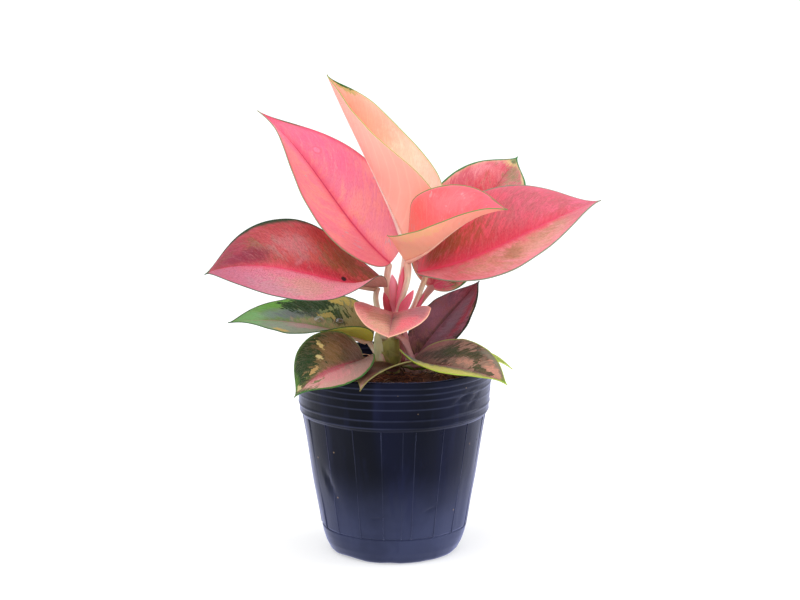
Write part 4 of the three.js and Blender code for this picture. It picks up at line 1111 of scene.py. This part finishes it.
def path_parts(name, centre, side, up, width, thickness, bend, reach, free, number, sides=20, channel=0.55):
    """A stalk grown along a path of centres, closed to a point at both ends."""
    def kept(values):
        return np.concatenate([values[:1], values, values[-1:]])

    def shut(values):
        return np.concatenate([[0], values, [0]])

    source = source_mesh(name, kept(centre) * MM, edges=chain(len(centre) + 2),
                         side=kept(side), up=kept(up), width=shut(width) * MM, thickness=shut(thickness) * MM,
                         bend=kept(bend) / MM, reach=kept(reach), free=kept(np.full(len(centre), free)))
    mesh = grown_mesh(FLESHY_STALK, source, {"Sides": sides, "Channel Depth": channel})
    return mesh_parts(mesh, ("reach", "free", "edge", "channel")) + (number,)


def stalk_path(row):
    height, direction, elevation, _ = row["stalk"]
    a, e = math.radians(direction), math.radians(elevation)
    outward = np.array([math.cos(a), math.sin(a), 0])
    start = np.array([STEM_X, STEM_Y, height]) + outward * (stem_radius(height) + 0.3 + SHEATH_THICKNESS / 2)
    leaving = outward * math.cos(e) + np.array([0, 0, math.sin(e)])
    base = np.array(row["base"], float)
    reach = np.linalg.norm(base - start)
    return [start, start + 0.4 * reach * leaving, base + row["bend"], base], outward


def stalk_parts(name, row):
    """The sheath and stalk, and the midrib that it becomes below the blade."""
    path, outward = stalk_path(row)
    t = np.linspace(0, 1, 40)[:-1]
    forward = bezier_slope(path, t)
    around = np.array([-outward[1], outward[0], 0])
    side = around * (1 - t[:, None]) + blade_frame(row, np.zeros(1))[1][0] * t[:, None]
    side = unit(side - (side * forward).sum(-1, keepdims=True) * forward)
    grown = smooth_step(t, 0.25, 0.6)
    width = row["stalk"][3] + (STALK_WIDTH - row["stalk"][3]) * grown + 1.6 * smooth_step(t, 0.75, 1)
    thickness = SHEATH_THICKNESS + (STALK_THICKNESS - SHEATH_THICKNESS) * grown
    bend = (1 - grown) / (2 * SHEATH_CURVE_RADIUS)
    s = np.linspace(0.02, 0.85, 40)
    share = np.interp(s, [0, 0.15, 0.4, 0.85], [0.95, 0.6, 0.28, 0.1])
    _, left, above = blade_frame(row, s)
    below = midrib(row, s) - above * (STALK_THICKNESS * 0.32 * share)[:, None]
    return path_parts(
        name, np.concatenate([bezier(path, t), below]), np.concatenate([side, left]),
        np.concatenate([np.cross(forward, side), above]), np.concatenate([width, share * STALK_WIDTH]),
        np.concatenate([thickness, share * STALK_THICKNESS]), np.concatenate([bend, 0 * s]),
        np.concatenate([t, 1 + s]), 0.0, 1)


def sheath_point_parts(name, row, tip):
    """A free point of the sheath: a thin petal that leaves the stalk and stands beside it."""
    path, _ = stalk_path(row)
    full, tip = tip[3], np.array(tip[:3], float)
    root = bezier(path, [0.1])[0]
    t = np.linspace(0, 1, 26)
    straight = unit(tip - root)
    inward = np.array([STEM_X, STEM_Y, root[2]]) - root
    inward = unit(inward) * 0.35 + [0, 1, 0]
    up = unit(inward - inward.dot(straight) * straight)
    side = np.cross(straight, up)
    bow = np.sin(np.pi * t)[:, None] * up * -0.06 * np.linalg.norm(tip - root)
    width = full * np.interp(t, [0, 0.3, 0.55, 0.8, 0.93, 1], [0.6, 1, 0.95, 0.68, 0.35, 0.08])
    thickness = np.interp(t, [0, 0.3, 0.8, 1], [1.8, 1.3, 1.0, 0.4])
    every = np.ones((len(t), 1))
    return path_parts(name, root + (tip - root) * t[:, None] + bow, side * every, up * every, width, thickness,
                      np.full(len(t), 0.1), 0.3 + 0.3 * t, 1.0, 1, channel=0.9)


def leaf_piece(name, row, skin_groups, stalk_group, seed):
    label = name.replace("leaf_", "").replace("_", " ")
    parts = [blade_parts(row, seed), stalk_parts(name, row)]
    parts += [sheath_point_parts(name, row, tip) for tip in row["tips"]]
    points, faces, attributes, finish = joined(parts)
    materials = [blade_material(label + " blade", skin_groups, name),
                 stalk_material(label + " stalk", stalk_group, SKINS[name]["stalk"])]
    piece = new_piece(name.replace("leaf_", "blade_"), points, faces, materials, attributes, finish)
    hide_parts(name)


# ---------------------------------------------------------------- pot

def pot_profile():
    """Closed profile from the middle of the base round to the middle of the floor, in mm."""
    outer, inner = np.array(POT_OUTSIDE), np.array(POT_INSIDE)
    # finer rows at the rings and at the top of the foot
    z = np.unique(np.concatenate([np.linspace(outer[0, 1], outer[-1, 1], 150), np.linspace(106, 146, 110),
                                  np.linspace(18, 24, 26)]))
    r = np.interp(z, outer[:, 1], outer[:, 0])
    for height, rise, half in RINGS:
        r += rise * np.exp(-((z - height) / half) ** 2) * RING_SHARE
    r -= 0.5 * np.exp(-((z - FOOT_TOP) / 0.5) ** 2)
    r = np.minimum(r, WIDEST)
    base = [(x, 0.0) for x in np.linspace(0, BASE_RADIUS, 16)] + [(48.0, 0.9)]
    down, steps = np.linspace(0, 1, 60), np.linspace(0, 1, len(inner))
    inside = list(zip(np.interp(down, steps, inner[:, 0]), np.interp(down, steps, inner[:, 1])))
    floor = [(x, FLOOR_HEIGHT) for x in np.linspace(49.0, 0, 16)]
    return base + list(zip(r, z)) + [(75.0, 147.0), (74.2, 147.2)] + inside + floor


def soft_wall(points):
    """The slack of a thin soft pot: a gentle sway, a crease, dents and a wavy rim and foot."""
    angle, radius, z = np.arctan2(points[:, 1], points[:, 0]), off_axis(points), points[:, 2]
    circle = np.stack([np.cos(angle), np.sin(angle), 0 * z], -1)
    rise = np.stack([0 * z, 0 * z, z], -1)
    sway = clouds(60 * circle + 0.5 * rise, 26.0, 3.0)
    ripple = clouds(90 * circle + 0.25 * rise, 12.0, 5.0)
    push = smooth_step(z, 4, 30) * ((0.8 * sway + 0.3 * ripple) * smooth_step(z, 150, 100) + 0.35 * sway)

    def dent(degrees, height, wide, tall, depth, lean):
        off = (angle - math.radians(degrees) + np.pi) % (2 * np.pi) - np.pi
        x, y = off * radius, z - height
        x, y = x * math.cos(lean) + y * math.sin(lean), y * math.cos(lean) - x * math.sin(lean)
        return -depth * np.exp(-(x / wide) ** 2 - (y / tall) ** 2)

    push += sum(dent(*row) for row in DENTS)
    slim = 1 + np.where(radius > 30, push / np.maximum(radius, 1), 0)
    moved = points * np.stack([slim, slim, np.ones_like(slim)], -1)
    lift = 0.6 * np.cos(angle) + 0.35 * np.sin(3 * angle + 1) + 0.2 * np.sin(7 * angle)
    foot = smooth_step(radius, 38, 47) * np.maximum(0, clouds(50 * circle, 22.0, 8.0)) * 1.6
    moved[:, 2] += smooth_step(z, 100, 147) * lift + smooth_step(z, 14, 0) * foot
    return moved


def drilled(mesh):
    """The pot's mesh with drain holes cut in its base by pegs."""
    work = bmesh.new()
    for k in range(DRAIN_HOLES):
        a = 2 * math.pi * k / DRAIN_HOLES
        made = bmesh.ops.create_cone(work, cap_ends=True, segments=28, radius1=DRAIN_RADIUS * MM,
                                     radius2=DRAIN_RADIUS * MM, depth=12 * MM)
        at = Vector((math.cos(a), math.sin(a), 0)) * DRAIN_CIRCLE * MM
        bmesh.ops.translate(work, verts=made["verts"], vec=at)
    peg_mesh = bpy.data.meshes.new("drain pegs")
    work.to_mesh(peg_mesh)
    work.free()
    body, pegs = bpy.data.objects.new("pot shell", mesh), bpy.data.objects.new("drain pegs", peg_mesh)
    for thing in (body, pegs):
        bpy.context.scene.collection.objects.link(thing)
    cut = body.modifiers.new("drill", "BOOLEAN")
    cut.operation, cut.solver, cut.object = "DIFFERENCE", "EXACT", pegs
    graph = bpy.context.evaluated_depsgraph_get()
    result = bpy.data.meshes.new_from_object(body.evaluated_get(graph), depsgraph=graph)
    bpy.data.objects.remove(body)
    bpy.data.objects.remove(pegs)
    return result


def pot_piece(plastic):
    points, faces = turned_parts("pot", pot_profile(), 144)
    # The rings' crests carry a painted highlight where they stand out.
    crest = sum(np.exp(-((points[:, 2] - height) / 0.55) ** 2) for height, rise, half in RINGS)
    crest = np.where(off_axis(points) > HIGHLIT_RADIUS, crest, 0)
    shell = source_mesh("pot shell", soft_wall(points) * MM, faces=faces, worn=crest)
    facing_out(shell)
    parts = [mesh_parts(drilled(shell), ["worn"]) + (0,)]
    for count, turn, width, seed in SEAM_ROWS:
        mesh = grown_mesh(MOULDED_SEAMS, source_mesh("seams", [(0, 0, 0)]), {
            "Count": count, "Low Radius": SEAM_FOOT[0] * MM, "High Radius": SEAM_HEAD[0] * MM,
            "Low": SEAM_FOOT[1] * MM, "High": SEAM_HEAD[1] * MM, "Width": width * MM,
            "Unevenness": SEAM_UNEVENNESS, "Turn": math.radians(turn - 90), "Seed": seed})
        points, faces, _ = mesh_parts(mesh)
        # The seams carry the painted highlight too.
        parts.append((soft_wall(points), faces, {"worn": np.full(len(points), 0.8)}, 0))
    points, faces, attributes, finish = joined(parts)
    piece = new_piece("nursery_pot", points, faces, [plastic], attributes, finish)
    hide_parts("pot")


# ---------------------------------------------------------------- soil

def soil_height(x, y):
    r = np.hypot(x, y)
    flat = np.stack([x, y, 0 * x], -1)
    lumps = 1.5 * clouds(flat, 13.0, 1.0) + 0.9 * clouds(flat, 5.0, 2.0) + 0.4 * clouds(flat, 2.2, 3.0)
    dome = SOIL_EDGE_HEIGHT + (SOIL_CROWN_HEIGHT - SOIL_EDGE_HEIGHT) * (1 - (r / SOIL_RADIUS) ** 2)
    return dome + lumps * smooth_step(r, SOIL_RADIUS, SOIL_RADIUS - 6) - 0.4


def soil_piece(finish):
    """The fill. Returns its points and the faces of its top."""
    top = [(r, SOIL_EDGE_HEIGHT) for r in np.linspace(SOIL_RADIUS, 0, 62)]
    points, faces = turned_parts("soil", SOIL_OUTSIDE + top, 150)
    top = points[:, 2] > SOIL_EDGE_HEIGHT - 0.5
    points[top, 2] = soil_height(points[top, 0], points[top, 1])
    piece = new_piece("soil_fill", points, faces, [finish])
    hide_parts("potting_soil")
    reach = off_axis(points)
    open_top = top & (reach > 11) & (reach < SOIL_RADIUS - 3)
    return points, [face for face in faces if all(open_top[v] for v in face)]


def soil_litter(points, faces, finishes):
    """Crumbs, bark chips and coir strands that lie on the soil."""
    layers = (
        ("crumbs", SCATTERED_BITS, finishes["crumb"], {
            "Density": 95000.0, "Smallest": (0.6 * MM,) * 3, "Largest": (2.2 * MM,) * 3, "Lying": 3.1,
            "Roughen": 1.1 * MM, "Seed": 11}),
        ("bark_chips", SCATTERED_BITS, finishes["chip"], {
            "Density": 5200.0, "Smallest": (3 * MM, 1.6 * MM, 0.9 * MM), "Largest": (8 * MM, 4 * MM, 1.8 * MM),
            "Lying": 0.45, "Roughen": 1.6 * MM, "Seed": 23}),
        ("coir_strands", COIR_STRANDS, finishes["coir"], {
            "Density": 16000.0, "Length": 17 * MM, "Radius": 0.24 * MM, "Seed": 5}),
        ("pale_strands", COIR_STRANDS, finishes["pale"], {
            "Density": 5200.0, "Length": 15 * MM, "Radius": 0.3 * MM, "Seed": 8}),
    )
    for name, group, finish, values in layers:
        bits, shapes, _ = mesh_parts(grown_mesh(group, source_mesh(name, points * MM, faces=faces), values))
        bits[:, :2] *= np.minimum(1, (SOIL_RADIUS - 0.6) / np.maximum(off_axis(bits), 1))[:, None]
        piece = new_piece(name, bits, shapes, [finish], smooth=(group is COIR_STRANDS))


# ---------------------------------------------------------------- stem

def clasping_sheath(direction, spread, low, high, flare, lean):
    """An old leaf base wrapped round the cane, higher in its middle than at its edges."""
    q, p = np.linspace(0, 1, 34)[:, None], np.linspace(-1, 1, 41)[None, :]
    narrow = spread * (1 - 0.25 * q ** 2) * np.sqrt(np.clip(1 - q ** 8, 0.0004, 1))
    angle = np.radians(direction + lean * q + p * narrow)
    z = low + (high - low) * q * (1 - 0.25 * p ** 2)
    radius = stem_radius(z) + 0.75 + flare * q ** 2 + 0.25 * np.sin(9 * p + 4 * q) * (1 - q)
    middle = np.stack([STEM_X + radius * np.cos(angle), STEM_Y + radius * np.sin(angle), z + 0 * angle], -1)
    normal = np.stack([np.cos(angle), np.sin(angle), 0 * angle], -1)
    points, faces, column, under = closed_sheet(middle, normal, OLD_SHEATH_THICKNESS, 0.2)
    rows = len(q)
    attributes = {"reach": np.repeat(q.ravel() * 0.7, len(column)), "edge": np.tile(p.ravel()[column], rows),
                  "channel": np.tile(under, rows) * 0.5, "free": np.zeros(rows * len(column))}
    return points, faces, attributes, 1


def rootlet_parts(direction, start, reach, thick):
    a = math.radians(direction)
    out, down = np.array([math.cos(a), math.sin(a), 0]), np.array([0, 0, -1.0])
    root = np.array([STEM_X, STEM_Y, start]) + out * (stem_radius(start) - 0.5)
    path = [root, root + out * reach * 0.5 - down, root + out * reach + down * (start - 142),
            root + out * (reach + 1.5) + down * (start - 133)]
    t = np.linspace(0, 1, 16)
    forward = bezier_slope(path, t)
    side = unit(np.cross(forward, np.cross(out, down)))
    width = thick * (1 - 0.4 * t)
    return path_parts("rootlet", bezier(path, t), side, np.cross(forward, side), width, width, 0 * t,
                      0.2 * t, 0.0, 2, sides=10, channel=1.0)


def stem_piece(bark, old_sheath, root_finish):
    z = np.linspace(109, 183, 90)
    r = stem_radius(z) - 0.2
    for ring in CANE_RINGS:
        r += 0.45 * np.exp(-((z - ring) / 0.55) ** 2) - 0.25 * np.exp(-((z - ring - 1.3) / 0.7) ** 2)
    profile = [(0, 108.5)] + list(zip(r, z)) + [(0, 183.6)]
    points, faces = turned_parts("cane", profile, 48)
    parts = [(points + [STEM_X, STEM_Y, 0], faces, {}, 0)]
    parts += [clasping_sheath(*row) for row in OLD_SHEATHS] + [rootlet_parts(*row) for row in ROOTLETS]
    points, faces, attributes, finish = joined(parts)
    piece = new_piece("cane", points, faces, [bark, old_sheath, root_finish], attributes, finish)
    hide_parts("stem")


# ---------------------------------------------------------------- water drops

def drop_piece(name, row, s, u, radius, finish):
    """A drop that sits on the upper face of a blade."""
    points, normal, _ = blade_surface(row, np.array([s, s + 0.01]), np.array([u, u - 0.02]))
    at, up = points[0, 0], normal[0, 0]
    side = unit(points[1, 0] - at)
    angle = np.linspace(-0.35, 1, 14)[:-1] * np.pi / 2
    profile = np.stack([np.cos(angle), np.sin(angle) * DROP_HEIGHT], -1) * radius
    profile = np.concatenate([[(0, profile[0, 1])], profile, [(0, DROP_HEIGHT * radius)]])
    shape, faces = turned_parts(name, profile, 24)
    turned = shape[:, :1] * side * DROP_STRETCH + shape[:, 1:2] * np.cross(up, side) + shape[:, 2:] * up
    new_piece(name, at + up * (BLADE_THICKNESS / 2 + 0.1) + turned, faces, [finish])


# ---------------------------------------------------------------- making

TURNED_BODY = turned_body_group()
FLESHY_STALK = fleshy_stalk_group()
MOULDED_SEAMS = moulded_seams_group()
SCATTERED_BITS = scattered_bits_group()
COIR_STRANDS = coir_strands_group()

skin_groups = leaf_fields(), leaf_ground(), leaf_patch(), leaf_lines()
stalk_group, grit_group = stalk_skin(), grit()

for seed, (name, row) in enumerate(LEAVES.items()):
    leaf_piece(name, row, skin_groups, stalk_group, seed)

pot_piece(pot_plastic(grit_group))
soil_points, soil_top = soil_piece(earth("potting mix", grit_group, "#543230", "#80503e", "#a87054", 0.12))
soil_litter(soil_points, soil_top, {
    "crumb": earth("soil crumbs", grit_group, "#4c302a", "#784c3a", "#9c6c50", 0.1),
    "chip": earth("bark chips", grit_group, "#7c5034", "#a47048", "#d0a074", 0.1),
    "coir": earth("brown coir", grit_group, "#a45c40", "#c47c58", "#e0a880", 0.05),
    "pale": earth("pale coir", grit_group, "#c89c7c", "#e0bc9c", "#f0dcc0", 0.05),
})
stem_piece(cane_bark(grit_group),
           stalk_material("old leaf bases", stalk_group, ("#8c8444", "#aca858", "#c4b878", "#c8a878", "#c4b878")),
           earth("rootlets", grit_group, "#3a2618", "#54381f", "#80603c", 0.05))
drops = water()
for name, (s, u, radius) in DROPS.items():
    drop_piece(name, LEAVES["leaf_green_left"], s, u, radius, drops)


# ---------------------------------------------------------------- floor, light and camera

def add_light(name, kind, strength, place, aim, size, tint=(1.0, 1.0, 1.0)):
    data = bpy.data.lights.new(name, kind)
    data.energy, data.color = strength, tint
    if kind == "SUN":
        data.angle = math.radians(size)
    else:
        data.size = size
    lamp = bpy.data.objects.new(name, data)
    lamp.location = place
    lamp.rotation_euler = (Vector(aim) - Vector(place)).to_track_quat("-Z", "Y").to_euler()
    bpy.context.scene.collection.objects.link(lamp)


COOL = (0.93, 0.95, 1.0)
# name, kind, strength, place, aim, size (metres, or degrees for the sun) and tint
LIGHTS = [
    ("overhead", "SUN", 1.1, (-0.6, -0.9, 2.2), (0, 0, 0), 70),
    ("left softbox", "AREA", 3.2, (-1.5, -0.25, 0.5), (0, 0, 0.15), 1.0, COOL),
    ("right softbox", "AREA", 19.0, (1.4, 0.15, 0.3), (0, 0, 0.1), 1.2, COOL),
]
FLOOR_HALF, FLOOR_DROP = 14, 0.0002
CAMERA_PLACE, CAMERA_PITCH, CAMERA_LENS = (0.0046, -2.0, 0.597), -11.36, 120.3


def studio():
    material, tree, shader = new_material("pale floor")
    tint = tree.ramp(tree.noise(tree.place(), 3.0, 2.0), 0.3, 0.7, 0.62, 0.64)
    tree.feed(shader.inputs["Base Color"], tree.vector(tint, tint, tint))
    set_plain(shader, {"Roughness": 0.9, "Specular IOR Level": 0.0, "Emission Color": (1.0, 1.0, 1.0, 1.0),
                       "Emission Strength": 0.45})
    mesh = bpy.data.meshes.new("floor")
    corners = [(x * FLOOR_HALF, y * FLOOR_HALF, -FLOOR_DROP) for x, y in ((-1, -1), (1, -1), (1, 1), (-1, 1))]
    mesh.from_pydata(corners, [], [(0, 1, 2, 3)])
    mesh.materials.append(material)
    floor = bpy.data.objects.new("floor", mesh)
    bpy.context.scene.collection.objects.link(floor)

    world = bpy.data.worlds.new("studio")
    bpy.context.scene.world = world
    world.use_nodes = True
    set_plain(world.node_tree.nodes["Background"], {"Color": (0.98, 0.99, 1.0, 1.0), "Strength": 0.85})
    for row in LIGHTS:
        add_light(*row)

    data = bpy.data.cameras.new("camera")
    data.sensor_width, data.lens, data.clip_end = 36.0, CAMERA_LENS, 60.0
    camera = bpy.data.objects.new("camera", data)
    camera.location = CAMERA_PLACE
    camera.rotation_euler = (math.radians(90 + CAMERA_PITCH), 0, 0)
    bpy.context.scene.collection.objects.link(camera)
    bpy.context.scene.camera = camera
    bpy.context.scene.view_settings.view_transform = "Standard"


studio()
